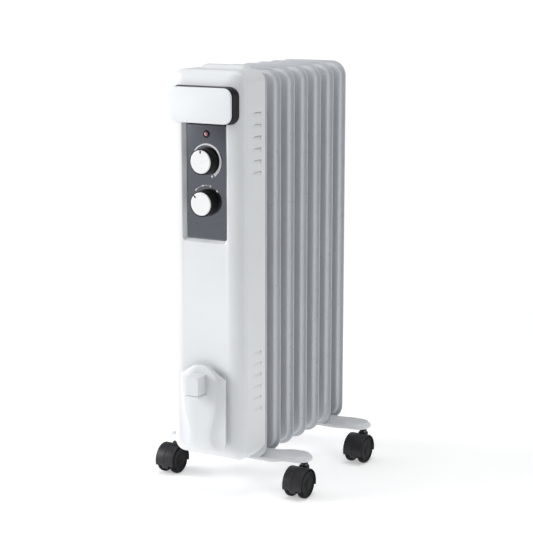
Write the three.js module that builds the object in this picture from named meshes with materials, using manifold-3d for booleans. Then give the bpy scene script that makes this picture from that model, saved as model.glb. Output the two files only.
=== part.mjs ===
// Oil filled radiator heater on four twin-wheel casters.
// Units are millimetres, +Z is up, the controls face -Y and the heater's right side is +X.
// Inside the functions Y is counted from the front face of the housing; the last lines move the
// whole heater so that its origin is the middle of its footprint, on the floor.
import * as THREE from 'three';
import { mergeVertices } from 'three/addons/utils/BufferGeometryUtils.js';
import Module from 'manifold-3d';

const wasm = await Module();
wasm.setup();

// ---- driving dimensions -------------------------------------------------------------------
const GAP = 0.3; // clearance between touching pieces
const OVERCUT = 1; // how far a cutter runs past the face it opens

const FIN_COUNT = 7;
const FIN_PITCH = 39.8;
const FIN_FIRST_Y = 67.6;
const FIN_HALF_WIDTH = 62.3;
const FIN_BOTTOM = 51;
const FIN_TOP = 625;
const FIN_CORNER = 23.3;
const FIN_SHEET = 0.9; // thickness of one pressed sheet
const FIN_CREST = 9.2; // half thickness over the oil channel
const FIN_WEB = 3.2; // half thickness over the middle
const FLANGE_WIDTH = 5.6;
const CHANNEL_START = 7.6;
const CHANNEL_END = 30;
const WEB_START = 35;
const GALLERY_INSET = 46; // gallery axis from the top or bottom edge of a fin
const NECK_RADIUS = 18;
const NECK_BORE = 14.5;
const NECK_SIDES = 12;

const HOUSING_HALF_WIDTH = 61.6;
const HOUSING_BOTTOM = 63;
const HOUSING_TOP = 625;
const HOUSING_CORNER = 19;
const HOUSING_LOWER_CORNER = 16;
const HOUSING_WALL = 2.5;
const HOUSING_REAR_Y = 65.8;
const CREASE_Y = 15; // joint between the front shell and the side shell
const CROWN_INSET = 28; // how far in from the edge the front shell starts to curve back
const PLATEAU_HEIGHT = 5;
const PLATEAU_HALF_TOP = 33;
const PLATEAU_HALF_BASE = 38;
const PLATEAU_FRONT_Y = 43;
const PLATEAU_RAMP_END_Y = 54;
const BEZEL_FRONT_Y = 1; // the thickening behind the recess starts inside the front wall
const BEZEL_TOP_INSET = 5; // and ends this far below the top of the handle
const FOOT_SLOPE_START_Y = 31.2; // the underside rises from here to clear the front foot
const FOOT_SLOPE_RISE = 12.5;

const VENT_ROWS = 6;
const VENT_PITCH = 16.8;
const VENT_FRONT_Y = 25.6;
const VENT_REAR_Y = 53.6;
const VENT_HEIGHT = 7;
const VENT_TOP_ROW_Z = 562.4;
const VENT_LOWER_TOP_ROW_Z = 217.5;
const VENT_SLIT = 2.2;

const PANEL_HALF_WIDTH = 33.2;
const PANEL_BOTTOM = 385.6;
const PANEL_TOP = 549;
const PANEL_Y = 6;
const PANEL_THICK = 2;
const BEZEL_FLARE = 4.1; // how much wider the recess is at the front face
const LAMP_Z = 535.6;
const LAMP_RADIUS = 4.4;
const LAMP_RIM = 1; // how far the bezel reaches past its hole
const LAMP_BEZEL_BORE = 3.6;
const LAMP_LENS_RADIUS = 3.3;
const LAMP_DEPTH = 8;
const THERMOSTAT_Z = 497.6;
const SELECTOR_Z = 438.1;
const SELECTOR_REST_ANGLE = THREE.MathUtils.degToRad(45); // pointer left of twelve o'clock

const KNOB_FRONT_Y = -9.4;
const KNOB_RADIUS = 18.5;
const KNOB_BASE_RADIUS = 19.4;
const KNOB_CAP_RADIUS = 17.2;
const KNOB_CAP_FRONT_Y = -10.3;
const KNOB_CAP_BACK_Y = -7.7;
const KNOB_SOCKET_END_Y = -3.4;
const POINTER_START = 12.2; // the groove in a knob cap, from the middle outwards
const POINTER_END = 16;
const POINTER_HALF_WIDTH = 0.8;
const SHAFT_RADIUS = 3;
const SHAFT_HOLE_RADIUS = 4;
const SWITCH_DEPTH = 24;
const SWITCH_COLLAR_RADIUS = 7;
const SWITCH_COLLAR_DEPTH = 4;
const SHAFT_REACH = 8; // how deep a shaft sits in its switch
const SWITCH_TAB_LENGTH = 8;
const SWITCH_TAB_HALF_WIDTH = 3;

const HANDLE_HALF_WIDTH = 54.9;
const HANDLE_BOTTOM = 551;
const HANDLE_TOP = 603;
const HANDLE_CORNER = 13;
const HANDLE_PLATE_HALF_WIDTH = 52;
const HANDLE_PLATE_BOTTOM = 552;
const HANDLE_PLATE_TOP = 601.8;
const HANDLE_PLATE_FRONT_Y = -12.2;
const HANDLE_PLATE_BACK_Y = -8.6;
const HANDLE_PLATE_CORNER = 11;
const HANDLE_REAR_Y = 24;
const HANDLE_WALL = 8;
const HANDLE_BACK_WALL = 4;
const HANDLE_LEDGE = 3; // thickness of the floor of the pocket behind its mouth

const HOLDER_HALF_WIDTH = 40;
const HOLDER_BOTTOM = 81;
const HOLDER_SHOULDER = 187.3;
const HOLDER_TOP = 204.7;
const HOLDER_BACK_Y = -9;
const HOLDER_EDGE_Y = -11.2;
const HOLDER_FACE_Y = -17;
const WAIST_HALF_WIDTH = 24;
const WAIST_BOTTOM = 108;
const WAIST_TOP = 176;
const WAIST_CORNER = 12;
const HOOK_HALF_WIDTH = 11.2;
const HOOK_BOTTOM = 161.5;
const HOOK_TOP = 193.5;
const HOOK_FRONT_Y = -37.5;
const HOOK_WALL = 2.6;

const FOOT_HALF_LENGTH = 123.5;
const FOOT_STRIP_HALF_WIDTH = 18.2;
const FOOT_LOBE_HALF_WIDTH = 20.5;
const FOOT_LOBE_OFFSET = 4; // the lobes sit this much nearer the middle of the heater
const FOOT_TOP = 61;
const FOOT_SHOULDER = 53; // above this the sides lean in, most of all between the fins
const FOOT_BOTTOM = 47.5;
const FOOT_STRIP_LEAN_IN = 12.7;
const FOOT_LOBE_LEAN_IN = 7;
const FOOT_LOBE_BOTTOM = 52.3; // the lower edge rises towards the ends
const FOOT_SHEET = 2;
const FOOT_LOBE_START_X = 86;
const FOOT_STRIP_END_X = 66;
const CLAMP_LEG_X = 21.5;
const CLAMP_ROD = 2.2;
const WING_NUT_RADIUS = 5;
const WING_NUT_HEIGHT = 4.5;
const WING_REACH = 10;
const WING_HALF_THICK = 1.2;

const CASTER_X = 112.4;
const CASTER_TRAIL = 15.2;
const CASTER_HALF_WIDTH = 16;
const WHEEL_RADIUS = 21.3; // to the flats of the tread
const WHEEL_SIDES = 24;
const WHEEL_INNER_X = 6;
const WHEEL_OUTER_X = 15.5;
const HOOD_INNER_RADIUS = 22.1;
const HOOD_OUTER_RADIUS = 23.7;
const HOOD_WEB_HALF_WIDTH = 5.4;
const HOOD_END_ANGLE = THREE.MathUtils.degToRad(-15);
const AXLE_RADIUS = 2.5;
const STEM_RADIUS = 4.5;
const STEM_FOOT_Z = 31.3; // lower end of the stem, inside the hood
const STEM_COLLAR_RADIUS = 5.6;
const STEM_COLLAR_THICK = 5.4;
const HOOD_BOSS_RADIUS = 7.7;
const HOOD_BOSS_LOW = 8; // above the axle
const HOOD_LID = 1.6; // the boss ends this far below the crown of the hood
const HOOD_LOW_CUT = 11; // the web ends this far below the axle
const WHEEL_WEB = 2.4; // thickness of the disc that closes the outside of a wheel
const AXLE_HALF_LENGTH = 12.5;

// ---- materials ----------------------------------------------------------------------------
const finish = (color, roughness, metalness = 0) =>
  new THREE.MeshStandardMaterial({ color, roughness, metalness });
const whitePlastic = () => finish(0xf1f4f6, 0.4);
const whitePaint = () => finish(0xc9ced3, 0.45, 0.1);
const blackPlastic = () => finish(0x18181a, 0.45);
const wheelPlastic = () => finish(0x2a2a2e, 0.5);
const panelPlastic = () => finish(0x73767c, 0.25, 0.3);
const steel = () => finish(0xb4b6ba, 0.3, 1);
const brass = () => finish(0xb9964e, 0.35, 1);
const lensRed = () => finish(0xd06a6e, 0.2);

// ---- solid helpers ------------------------------------------------------------------------
function toSolid(geometry) {
  const bare = geometry.clone();
  bare.deleteAttribute('normal');
  bare.deleteAttribute('uv');
  const merged = mergeVertices(bare, 1e-4);
  return new wasm.Manifold(new wasm.Mesh({
    numProp: 3,
    vertProperties: Float32Array.from(merged.attributes.position.array),
    triVerts: Uint32Array.from(merged.index.array),
  }));
}

function toGeometry(solid) {
  const mesh = solid.getMesh();
  const geometry = new THREE.BufferGeometry();
  geometry.setAttribute('position', new THREE.BufferAttribute(mesh.vertProperties, 3));
  geometry.setIndex(new THREE.BufferAttribute(mesh.triVerts, 1));
  return geometry;
}

function join(first, ...others) {
  return toGeometry(others.reduce((sum, other) => sum.add(toSolid(other)), toSolid(first)));
}

function cut(body, ...cutters) {
  return toGeometry(cutters.reduce((left, cutter) => left.subtract(toSolid(cutter)), toSolid(body)));
}

function box(x0, x1, y0, y1, z0, z1) {
  const geometry = new THREE.BoxGeometry(x1 - x0, y1 - y0, z1 - z0);
  return geometry.translate((x0 + x1) / 2, (y0 + y1) / 2, (z0 + z1) / 2);
}

// A cylinder between two points on a line parallel to one of the axes.
function rod(axis, radius, from, to, a, b, sides = 16) {
  const geometry = new THREE.CylinderGeometry(radius, radius, to - from, sides);
  const middle = (from + to) / 2;
  if (axis === 'x') return geometry.rotateZ(-Math.PI / 2).translate(middle, a, b);
  if (axis === 'y') return geometry.translate(a, middle, b);
  return geometry.rotateX(Math.PI / 2).translate(a, b, middle);
}

// A turned shape about a line parallel to Y; profile points are (radius, y).
function turned(profile, x, z, sides = 24) {
  const points = profile.map(([radius, y]) => new THREE.Vector2(radius, y));
  return new THREE.LatheGeometry(points, sides).translate(x, 0, z);
}

// An outline drawn in X and Z, made solid between two values of Y.
function slab(shape, yFront, yBack, curveSegments = 6) {
  const options = { depth: yBack - yFront, bevelEnabled: false, curveSegments };
  return new THREE.ExtrudeGeometry(shape, options).rotateX(Math.PI / 2).translate(0, yBack, 0);
}

function roundedShape(halfWidth, low, high, radius) {
  const shape = new THREE.Shape();
  shape.absarc(halfWidth - radius, low + radius, radius, -Math.PI / 2, 0);
  shape.absarc(halfWidth - radius, high - radius, radius, 0, Math.PI / 2);
  shape.absarc(radius - halfWidth, high - radius, radius, Math.PI / 2, Math.PI);
  shape.absarc(radius - halfWidth, low + radius, radius, Math.PI, 1.5 * Math.PI);
  shape.closePath();
  return shape;
}

// Points of a rounded rectangle, the same number for every size so that rings can be joined.
function roundedRing(halfWidth, low, high, radius, perCorner = 5, lowerRadius = radius) {
  const corners = [
    [1, -1, lowerRadius, -90],
    [1, 1, radius, 0],
    [-1, 1, radius, 90],
    [-1, -1, lowerRadius, 180],
  ];
  return corners.flatMap(([side, level, turn, start]) =>
    Array.from({ length: perCorner + 1 }, (_, step) => {
      const angle = THREE.MathUtils.degToRad(start + (90 * step) / perCorner);
      const centreZ = level < 0 ? low + turn : high - turn;
      return [side * (halfWidth - turn) + turn * Math.cos(angle), centreZ + turn * Math.sin(angle)];
    }),
  );
}

// Joins rings of X,Z points, listed from front to back, into one closed solid.
function loft(rings) {
  const count = rings[0].points.length;
  const last = (rings.length - 1) * count;
  const position = [];
  const index = [];
  rings.forEach(({ points, y }) => points.forEach(([x, z]) => position.push(x, y, z)));
  for (let ring = 0; ring < rings.length - 1; ring += 1) {
    for (let k = 0; k < count; k += 1) {
      const a = ring * count + k;
      const b = ring * count + ((k + 1) % count);
      index.push(a, b + count, b, a, a + count, b + count);
    }
  }
  const outline = rings[0].points.map(([x, z]) => new THREE.Vector2(x, z));
  for (const [a, b, c] of THREE.ShapeUtils.triangulateShape(outline, [])) {
    index.push(a, b, c, last + c, last + b, last + a);
  }
  const geometry = new THREE.BufferGeometry();
  geometry.setAttribute('position', new THREE.Float32BufferAttribute(position, 3));
  geometry.setIndex(index);
  return geometry;
}

const heater = new THREE.Group();

function add(name, geometry, material, parent = heater) {
  const mesh = new THREE.Mesh(geometry, material);
  mesh.name = name;
  parent.add(mesh);
  return mesh;
}

// ---- radiator: pressed steel fins ---------------------------------------------------------
const finY = (number) => FIN_FIRST_Y + FIN_PITCH * number;
const GALLERIES = [FIN_BOTTOM + GALLERY_INSET, FIN_TOP - GALLERY_INSET];
const FILL_X = 0;
const FILL_Z = FIN_TOP - (CHANNEL_START + CHANNEL_END) / 2;

function finRing(inset, y, perCorner = 3) {
  const radius = Math.max(FIN_CORNER - 0.6 * inset, 4);
  const low = FIN_BOTTOM + inset;
  const points = roundedRing(FIN_HALF_WIDTH - inset, low, FIN_TOP - inset, radius, perCorner);
  return { points, y };
}

// The same profile, given as [inset, half thickness] pairs, on both faces of a fin.
function finLoft(profile, perCorner) {
  const front = [...profile].reverse().map(([inset, half]) => finRing(inset, -half, perCorner));
  const back = profile.map(([inset, half]) => finRing(inset, half, perCorner));
  return loft([...front, ...back]);
}

function fin(number) {
  const first = number === 0;
  const last = number === FIN_COUNT - 1;
  const neckEnd = FIN_PITCH / 2 - GAP / 2;
  const skin = finLoft([
    [0, FIN_SHEET],
    [FLANGE_WIDTH, FIN_SHEET],
    [CHANNEL_START, FIN_CREST],
    [CHANNEL_END, FIN_CREST],
    [WEB_START, FIN_WEB],
  ]);
  const cavity = finLoft([
    [FLANGE_WIDTH + 2 * FIN_SHEET, FIN_SHEET / 4],
    [CHANNEL_START + FIN_SHEET, FIN_CREST - FIN_SHEET],
    [CHANNEL_END - FIN_SHEET, FIN_CREST - FIN_SHEET],
    [WEB_START - FIN_SHEET, FIN_WEB - FIN_SHEET],
  ], 2);
  const necks = [];
  const bores = [];
  GALLERIES.forEach((z, level) => {
    const elementEnd = first && level === 0;
    const from = elementEnd ? -FIN_CREST - 1 : -neckEnd;
    if (!first || elementEnd) {
      necks.push(rod('y', NECK_RADIUS, from, 0, 0, z, NECK_SIDES));
      bores.push(rod('y', NECK_BORE, from - OVERCUT, 0, 0, z, NECK_SIDES));
    }
    if (!last) {
      necks.push(rod('y', NECK_RADIUS, 0, neckEnd, 0, z, NECK_SIDES));
      bores.push(rod('y', NECK_BORE, 0, neckEnd + OVERCUT, 0, z, NECK_SIDES));
    }
  });
  if (first) bores.push(rod('y', SHAFT_RADIUS, -FIN_CREST - 1, 0, FILL_X, FILL_Z, 8));
  return cut(join(skin, ...necks), cavity, ...bores);
}

const FILL_HEAD_RADIUS = 6;
const FILL_HEAD_HEIGHT = 7;
const FILL_PIN_RADIUS = 2.6;

function fillPlug() {
  const profile = [
    [0, -FILL_HEAD_HEIGHT],
    [FILL_HEAD_RADIUS, -FILL_HEAD_HEIGHT],
    [FILL_HEAD_RADIUS, -GAP],
    [FILL_PIN_RADIUS, -GAP],
    [FILL_PIN_RADIUS, FIN_SHEET],
    [0, FIN_SHEET],
  ];
  return turned(profile, FILL_X, FILL_Z, 8).translate(0, FIN_FIRST_Y - FIN_CREST, 0);
}

// Threaded plug in the lower gallery with a hairpin tube that runs through every fin.
const HAIRPIN_OFFSET = 8; // of either leg from the gallery axis
const HAIRPIN_TUBE = 3.5;
const HAIRPIN_CLEARANCE = 14; // from the bend to the middle of the last fin
const PLUG_HEX_DEPTH = 9;
const PLUG_THREAD_DEPTH = 8;
const TERMINAL_X = 7;
const TERMINAL_RADIUS = 3;

function heatingElement() {
  const z = GALLERIES[0];
  const flangeBack = FIN_FIRST_Y - FIN_CREST - 1 - GAP;
  const flangeFront = flangeBack - PLUG_HEX_DEPTH;
  const legStart = flangeBack - 2;
  const bend = finY(FIN_COUNT - 1) - HAIRPIN_CLEARANCE - HAIRPIN_OFFSET;
  const turn = Array.from({ length: 7 }, (_, k) => {
    const angle = (Math.PI * k) / 6;
    const y = bend + HAIRPIN_OFFSET * Math.sin(angle);
    return new THREE.Vector3(0, y, z + HAIRPIN_OFFSET * Math.cos(angle));
  });
  const leg = (side) => new THREE.Vector3(0, legStart, z + side * HAIRPIN_OFFSET);
  const route = new THREE.CatmullRomCurve3([leg(1), ...turn, leg(-1)], false, 'catmullrom', 0);
  const section = new THREE.Shape().absarc(0, 0, HAIRPIN_TUBE, 0, 2 * Math.PI);
  const options = { steps: 24, curveSegments: 2, bevelEnabled: false, extrudePath: route };
  const terminals = [-TERMINAL_X, TERMINAL_X].map((x) =>
    rod('y', TERMINAL_RADIUS, flangeFront - PLUG_HEX_DEPTH, flangeFront + 1, x, z, 8));
  return join(
    rod('y', NECK_RADIUS + 1, flangeFront, flangeBack, 0, z, 6),
    rod('y', NECK_BORE - GAP, legStart, flangeBack + PLUG_THREAD_DEPTH, 0, z, 12),
    ...terminals,
    new THREE.ExtrudeGeometry(section, options),
  );
}

// ---- housing ------------------------------------------------------------------------------
function housingRing(inset, y, perCorner = 5) {
  const radius = HOUSING_CORNER - 0.35 * inset;
  const lower = HOUSING_LOWER_CORNER - 0.3 * inset;
  const low = HOUSING_BOTTOM + inset;
  const high = HOUSING_TOP - inset;
  const points = roundedRing(HOUSING_HALF_WIDTH - inset, low, high, radius, perCorner, lower);
  return { points, y };
}

// The front shell curves back to the crease as a quarter of an ellipse.
function crown(extraInset, extraY, steps = 3) {
  return Array.from({ length: steps + 1 }, (_, step) => {
    const angle = (Math.PI / 2) * (step / steps);
    const inset = (CROWN_INSET - extraInset) * (1 - Math.sin(angle)) + extraInset;
    const y = extraY + (CREASE_Y - extraY) * (1 - Math.cos(angle));
    return housingRing(inset, y);
  });
}

function panelRecess() {
  const flared = (flare, y) => {
    const half = PANEL_HALF_WIDTH + GAP + flare;
    const low = PANEL_BOTTOM - GAP - flare;
    return { points: roundedRing(half, low, HANDLE_BOTTOM + flare, 3 + flare / 2, 2), y };
  };
  return loft([
    flared(BEZEL_FLARE * (1 + OVERCUT / PANEL_Y), -OVERCUT),
    flared(0, PANEL_Y),
    flared(0, PANEL_Y + PANEL_THICK + 2 * OVERCUT),
  ]);
}

function frontShell() {
  const outside = loft(crown(0, 0));
  const insideRings = crown(HOUSING_WALL, HOUSING_WALL);
  insideRings.push(housingRing(HOUSING_WALL, CREASE_Y + OVERCUT));
  const bezelHalf = PANEL_HALF_WIDTH + BEZEL_FLARE + HOUSING_WALL;
  const bezelBottom = PANEL_BOTTOM - BEZEL_FLARE - HOUSING_WALL;
  const bezelBack = PANEL_Y + PANEL_THICK + 2 * GAP;
  const bezelTop = HANDLE_TOP - BEZEL_TOP_INSET;
  const bezel = box(-bezelHalf, bezelHalf, BEZEL_FRONT_Y, bezelBack, bezelBottom, bezelTop);
  const opening = roundedShape(
    HANDLE_HALF_WIDTH + GAP, HANDLE_BOTTOM - GAP, HANDLE_TOP + GAP, HANDLE_CORNER + GAP);
  const hollow = cut(outside, loft(insideRings));
  const handleHole = slab(opening, -OVERCUT, CREASE_Y + OVERCUT);
  return cut(join(hollow, bezel), handleHole, panelRecess());
}

// A louvre: the wall slopes inwards to a thin slit under its top edge, on either side.
function louvre(side, z) {
  const surface = side * (HOUSING_HALF_WIDTH + OVERCUT);
  const root = side * (HOUSING_HALF_WIDTH - HOUSING_WALL - OVERCUT);
  const profile = new THREE.Shape([
    new THREE.Vector2(surface, z - VENT_HEIGHT / 2),
    new THREE.Vector2(surface, z + VENT_HEIGHT / 2),
    new THREE.Vector2(root, z + VENT_HEIGHT / 2),
    new THREE.Vector2(root, z + VENT_HEIGHT / 2 - VENT_SLIT),
  ]);
  return slab(profile, VENT_FRONT_Y, VENT_REAR_Y);
}

function plateau() {
  const base = HOUSING_TOP - HOUSING_WALL / 2;
  const top = HOUSING_TOP + PLATEAU_HEIGHT;
  const section = (shrink, y) => ({
    points: [
      [-PLATEAU_HALF_BASE, base],
      [PLATEAU_HALF_BASE, base],
      [PLATEAU_HALF_TOP, top - shrink],
      [-PLATEAU_HALF_TOP, top - shrink],
    ],
    y,
  });
  return loft([
    section(PLATEAU_HEIGHT, PLATEAU_FRONT_Y),
    section(0, PLATEAU_RAMP_END_Y),
    section(0, HOUSING_REAR_Y),
  ]);
}

// The lower rear corner is cut away on a slope to clear the front foot.
function footClearance() {
  const rear = HOUSING_REAR_Y + OVERCUT;
  const slope = [
    [FOOT_SLOPE_START_Y, HOUSING_BOTTOM - OVERCUT],
    [rear, HOUSING_BOTTOM - OVERCUT],
    [rear, HOUSING_BOTTOM + FOOT_SLOPE_RISE],
  ];
  const shape = new THREE.Shape(slope.map(([y, z]) => new THREE.Vector2(y, z)));
  const width = 2 * HOUSING_HALF_WIDTH + 2 * OVERCUT;
  const wedge = new THREE.ExtrudeGeometry(shape, { depth: width, bevelEnabled: false });
  wedge.rotateX(Math.PI / 2).rotateZ(Math.PI / 2);
  return wedge.translate(-width / 2, 0, 0);
}

// Room for the raised channel of the first fin inside the rear edge of the housing.
function finClearance() {
  const inset = FLANGE_WIDTH - 2 * GAP;
  return loft([
    finRing(inset, FIN_FIRST_Y - FIN_CREST - OVERCUT),
    finRing(inset, HOUSING_REAR_Y + OVERCUT),
  ]);
}

const GLAND_X = -26;
const GLAND_Y = 30;
const GLAND_RADIUS = 7;
const GLAND_BORE = 3.6;
const GLAND_FLANGE = 3;
const GLAND_REACH = 5; // above the floor of the housing and below it

function sideShell() {
  const front = CREASE_Y + GAP;
  const tube = loft([housingRing(0, front), housingRing(0, HOUSING_REAR_Y)]);
  const inside = loft([
    housingRing(HOUSING_WALL, front - OVERCUT),
    housingRing(HOUSING_WALL, HOUSING_REAR_Y + OVERCUT),
  ]);
  const cutters = [inside, footClearance(), finClearance()];
  for (const side of [-1, 1]) {
    for (const top of [VENT_TOP_ROW_Z, VENT_LOWER_TOP_ROW_Z]) {
      for (let row = 0; row < VENT_ROWS; row += 1) cutters.push(louvre(side, top - row * VENT_PITCH));
    }
  }
  const below = HOUSING_BOTTOM - OVERCUT;
  cutters.push(rod('z', GLAND_RADIUS, below, below + 2 * HOUSING_WALL, GLAND_X, GLAND_Y));
  return cut(join(tube, plateau()), ...cutters);
}

// Sheet steel plate that keeps the radiator's heat away from the controls.
const SHIELD_Y = 50;
const SHIELD_THICK = 1;
const SHIELD_SIDE_GAP = 1.5;

function heatShield() {
  const inset = HOUSING_WALL + SHIELD_SIDE_GAP;
  const ring = housingRing(inset, 0).points.map(([x, z]) => new THREE.Vector2(x, z));
  const plate = slab(new THREE.Shape(ring), SHIELD_Y, SHIELD_Y + SHIELD_THICK);
  const hole = rod('y', NECK_RADIUS + 4, SHIELD_Y - OVERCUT, SHIELD_Y + 2 * OVERCUT, 0, GALLERIES[0]);
  const half = HOUSING_HALF_WIDTH;
  const low = HOUSING_BOTTOM + FOOT_SLOPE_RISE;
  const lowEdge = box(-half, half, SHIELD_Y - OVERCUT, SHIELD_Y + 2 * OVERCUT, 0, low);
  return cut(plate, hole, lowEdge);
}

function cordGland() {
  const lower = HOUSING_BOTTOM - GLAND_REACH;
  const upper = HOUSING_BOTTOM + HOUSING_WALL + GLAND_REACH;
  const flangeTop = HOUSING_BOTTOM - GAP;
  const flange = rod('z', GLAND_RADIUS + GLAND_FLANGE, lower, flangeTop, GLAND_X, GLAND_Y);
  const sleeve = rod('z', GLAND_RADIUS - GAP, lower, upper, GLAND_X, GLAND_Y);
  const bore = rod('z', GLAND_BORE, lower - OVERCUT, upper + OVERCUT, GLAND_X, GLAND_Y, 12);
  return cut(join(flange, sleeve), bore);
}

// ---- control panel ------------------------------------------------------------------------
function controlPanel() {
  const plate = slab(
    roundedShape(PANEL_HALF_WIDTH, PANEL_BOTTOM, PANEL_TOP, 3), PANEL_Y, PANEL_Y + PANEL_THICK, 2);
  const hole = (radius, z) =>
    rod('y', radius, PANEL_Y - OVERCUT, PANEL_Y + PANEL_THICK + OVERCUT, 0, z);
  const shaftHoles = [THERMOSTAT_Z, SELECTOR_Z].map((z) => hole(SHAFT_HOLE_RADIUS, z));
  return cut(plate, hole(LAMP_RADIUS, LAMP_Z), ...shaftHoles);
}

function lampBezel() {
  const profile = [
    [LAMP_BEZEL_BORE, PANEL_Y - 1.4],
    [LAMP_RADIUS + LAMP_RIM, PANEL_Y - 1],
    [LAMP_RADIUS + LAMP_RIM, PANEL_Y - GAP],
    [LAMP_RADIUS - GAP, PANEL_Y - GAP],
    [LAMP_RADIUS - GAP, PANEL_Y + LAMP_DEPTH],
    [LAMP_BEZEL_BORE, PANEL_Y + LAMP_DEPTH],
    [LAMP_BEZEL_BORE, PANEL_Y - 1.4],
  ];
  return turned(profile, 0, LAMP_Z, 16);
}

function lampLens() {
  const profile = [
    [0, PANEL_Y - 2.2],
    [LAMP_LENS_RADIUS - 1, PANEL_Y - 1.9],
    [LAMP_LENS_RADIUS, PANEL_Y - 0.9],
    [LAMP_LENS_RADIUS, PANEL_Y + LAMP_DEPTH - 1],
    [0, PANEL_Y + LAMP_DEPTH - 1],
  ];
  return turned(profile, 0, LAMP_Z, 16);
}

function knobBody(z) {
  const seat = KNOB_CAP_BACK_Y + GAP;
  const back = PANEL_Y - 0.5;
  const profile = [
    [0, seat],
    [KNOB_CAP_RADIUS + GAP, seat],
    [KNOB_CAP_RADIUS + GAP, KNOB_FRONT_Y],
    [KNOB_RADIUS - 0.4, KNOB_FRONT_Y],
    [KNOB_RADIUS, KNOB_FRONT_Y + 1],
    [KNOB_BASE_RADIUS, back],
    [SHAFT_RADIUS + GAP, back],
    [SHAFT_RADIUS + GAP, KNOB_SOCKET_END_Y],
    [0, KNOB_SOCKET_END_Y],
  ];
  return turned(profile, 0, z);
}

// White disc let into the front of a knob, with a short pointer groove at its edge.
function knobCap(z, pointerAngle) {
  const profile = [
    [0, KNOB_CAP_FRONT_Y],
    [KNOB_CAP_RADIUS - 0.6, KNOB_CAP_FRONT_Y],
    [KNOB_CAP_RADIUS, KNOB_CAP_FRONT_Y + 0.6],
    [KNOB_CAP_RADIUS, KNOB_CAP_BACK_Y],
    [0, KNOB_CAP_BACK_Y],
  ];
  const half = POINTER_HALF_WIDTH;
  const front = KNOB_CAP_FRONT_Y;
  const groove = box(-half, half, front - OVERCUT, front + 0.8, POINTER_START, POINTER_END);
  groove.rotateY(-pointerAngle).translate(0, 0, z);
  return cut(turned(profile, 0, z), groove);
}

const SWITCH_FRONT_Y = PANEL_Y + PANEL_THICK + GAP;

function controlShaft(z) {
  return rod('y', SHAFT_RADIUS, KNOB_SOCKET_END_Y + 0.4, SWITCH_FRONT_Y + SHAFT_REACH, 0, z, 12);
}

function switchBody(z, halfWidth, halfHeight) {
  const front = SWITCH_FRONT_Y;
  const back = front + SWITCH_DEPTH;
  const bodyFront = front + SWITCH_COLLAR_DEPTH;
  const body = box(-halfWidth, halfWidth, bodyFront, back, z - halfHeight, z + halfHeight);
  const collar = rod('y', SWITCH_COLLAR_RADIUS, front, bodyFront + 1, 0, z, 12);
  const tab = (x) => box(
    x - SWITCH_TAB_HALF_WIDTH, x + SWITCH_TAB_HALF_WIDTH,
    back - 1, back + SWITCH_TAB_LENGTH, z - 0.5, z + 0.5);
  const bore = rod('y', SHAFT_RADIUS + GAP, front - OVERCUT, front + SHAFT_REACH + 1, 0, z, 12);
  return cut(join(body, collar, tab(-halfWidth / 2), tab(halfWidth / 2)), bore);
}

// ---- handle -------------------------------------------------------------------------------
// Black cup set into the front shell; fingers reach up into it from below the white plate.
function handleGrip() {
  const outline = roundedShape(HANDLE_HALF_WIDTH, HANDLE_BOTTOM, HANDLE_TOP, HANDLE_CORNER);
  const body = slab(outline, HANDLE_PLATE_BACK_Y + GAP, HANDLE_REAR_Y);
  const half = HANDLE_HALF_WIDTH - HANDLE_WALL;
  const pocketBack = HANDLE_REAR_Y - HANDLE_BACK_WALL;
  const pocketTop = HANDLE_TOP - HANDLE_WALL;
  const ledge = HANDLE_BOTTOM + HANDLE_LEDGE;
  const pocket = box(-half, half, HANDLE_PLATE_BACK_Y, pocketBack, ledge, pocketTop);
  const mouth = box(-half, half, HANDLE_PLATE_BACK_Y, PANEL_Y, HANDLE_BOTTOM - OVERCUT, ledge + OVERCUT);
  return cut(body, pocket, mouth);
}

function handlePlate() {
  const outline = roundedShape(
    HANDLE_PLATE_HALF_WIDTH, HANDLE_PLATE_BOTTOM, HANDLE_PLATE_TOP, HANDLE_PLATE_CORNER);
  return slab(outline, HANDLE_PLATE_FRONT_Y, HANDLE_PLATE_BACK_Y);
}

// ---- cord holder on the lower front -------------------------------------------------------
function mirroredShape(rightSide) {
  const right = rightSide.map(([x, z]) => new THREE.Vector2(x, z));
  const left = [...rightSide].reverse().map(([x, z]) => new THREE.Vector2(-x, z));
  return new THREE.Shape([...right, ...left]);
}

function cordHolder() {
  const flange = mirroredShape([
    [31, HOLDER_BOTTOM],
    [HOLDER_HALF_WIDTH - 2, HOLDER_BOTTOM + 4],
    [HOLDER_HALF_WIDTH, HOLDER_BOTTOM + 9],
    [HOLDER_HALF_WIDTH, HOLDER_SHOULDER],
    [24, HOLDER_SHOULDER + 8],
    [14, HOLDER_TOP - 1.5],
    [5, HOLDER_TOP],
  ]);
  const face = mirroredShape([
    [23, HOLDER_BOTTOM + 2],
    [17, HOLDER_BOTTOM + 20],
    [17.5, HOLDER_BOTTOM + 26],
    [26.5, HOLDER_BOTTOM + 61],
    [29, HOLDER_SHOULDER + 4],
    [20, HOLDER_TOP - 7],
    [10, HOLDER_TOP - 3],
  ]);
  const waist = roundedShape(WAIST_HALF_WIDTH, WAIST_BOTTOM, WAIST_TOP, WAIST_CORNER);
  return join(
    slab(flange, HOLDER_EDGE_Y, HOLDER_BACK_Y),
    slab(face, HOLDER_FACE_Y, HOLDER_EDGE_Y + 1),
    slab(waist, HOLDER_BACK_Y - 1, -GAP, 3),
    cordHook(),
  );
}

// A small box that is open at the bottom only; the plug end of the cord is pushed up into it.
function cordHook() {
  const half = HOOK_HALF_WIDTH;
  const hollowHalf = half - HOOK_WALL;
  const outside = box(-half, half, HOOK_FRONT_Y, HOLDER_FACE_Y + 1, HOOK_BOTTOM, HOOK_TOP);
  const hollow = box(
    -hollowHalf, hollowHalf,
    HOOK_FRONT_Y + HOOK_WALL, HOLDER_FACE_Y,
    HOOK_BOTTOM - OVERCUT, HOOK_TOP - HOOK_WALL);
  return cut(outside, hollow);
}

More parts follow.
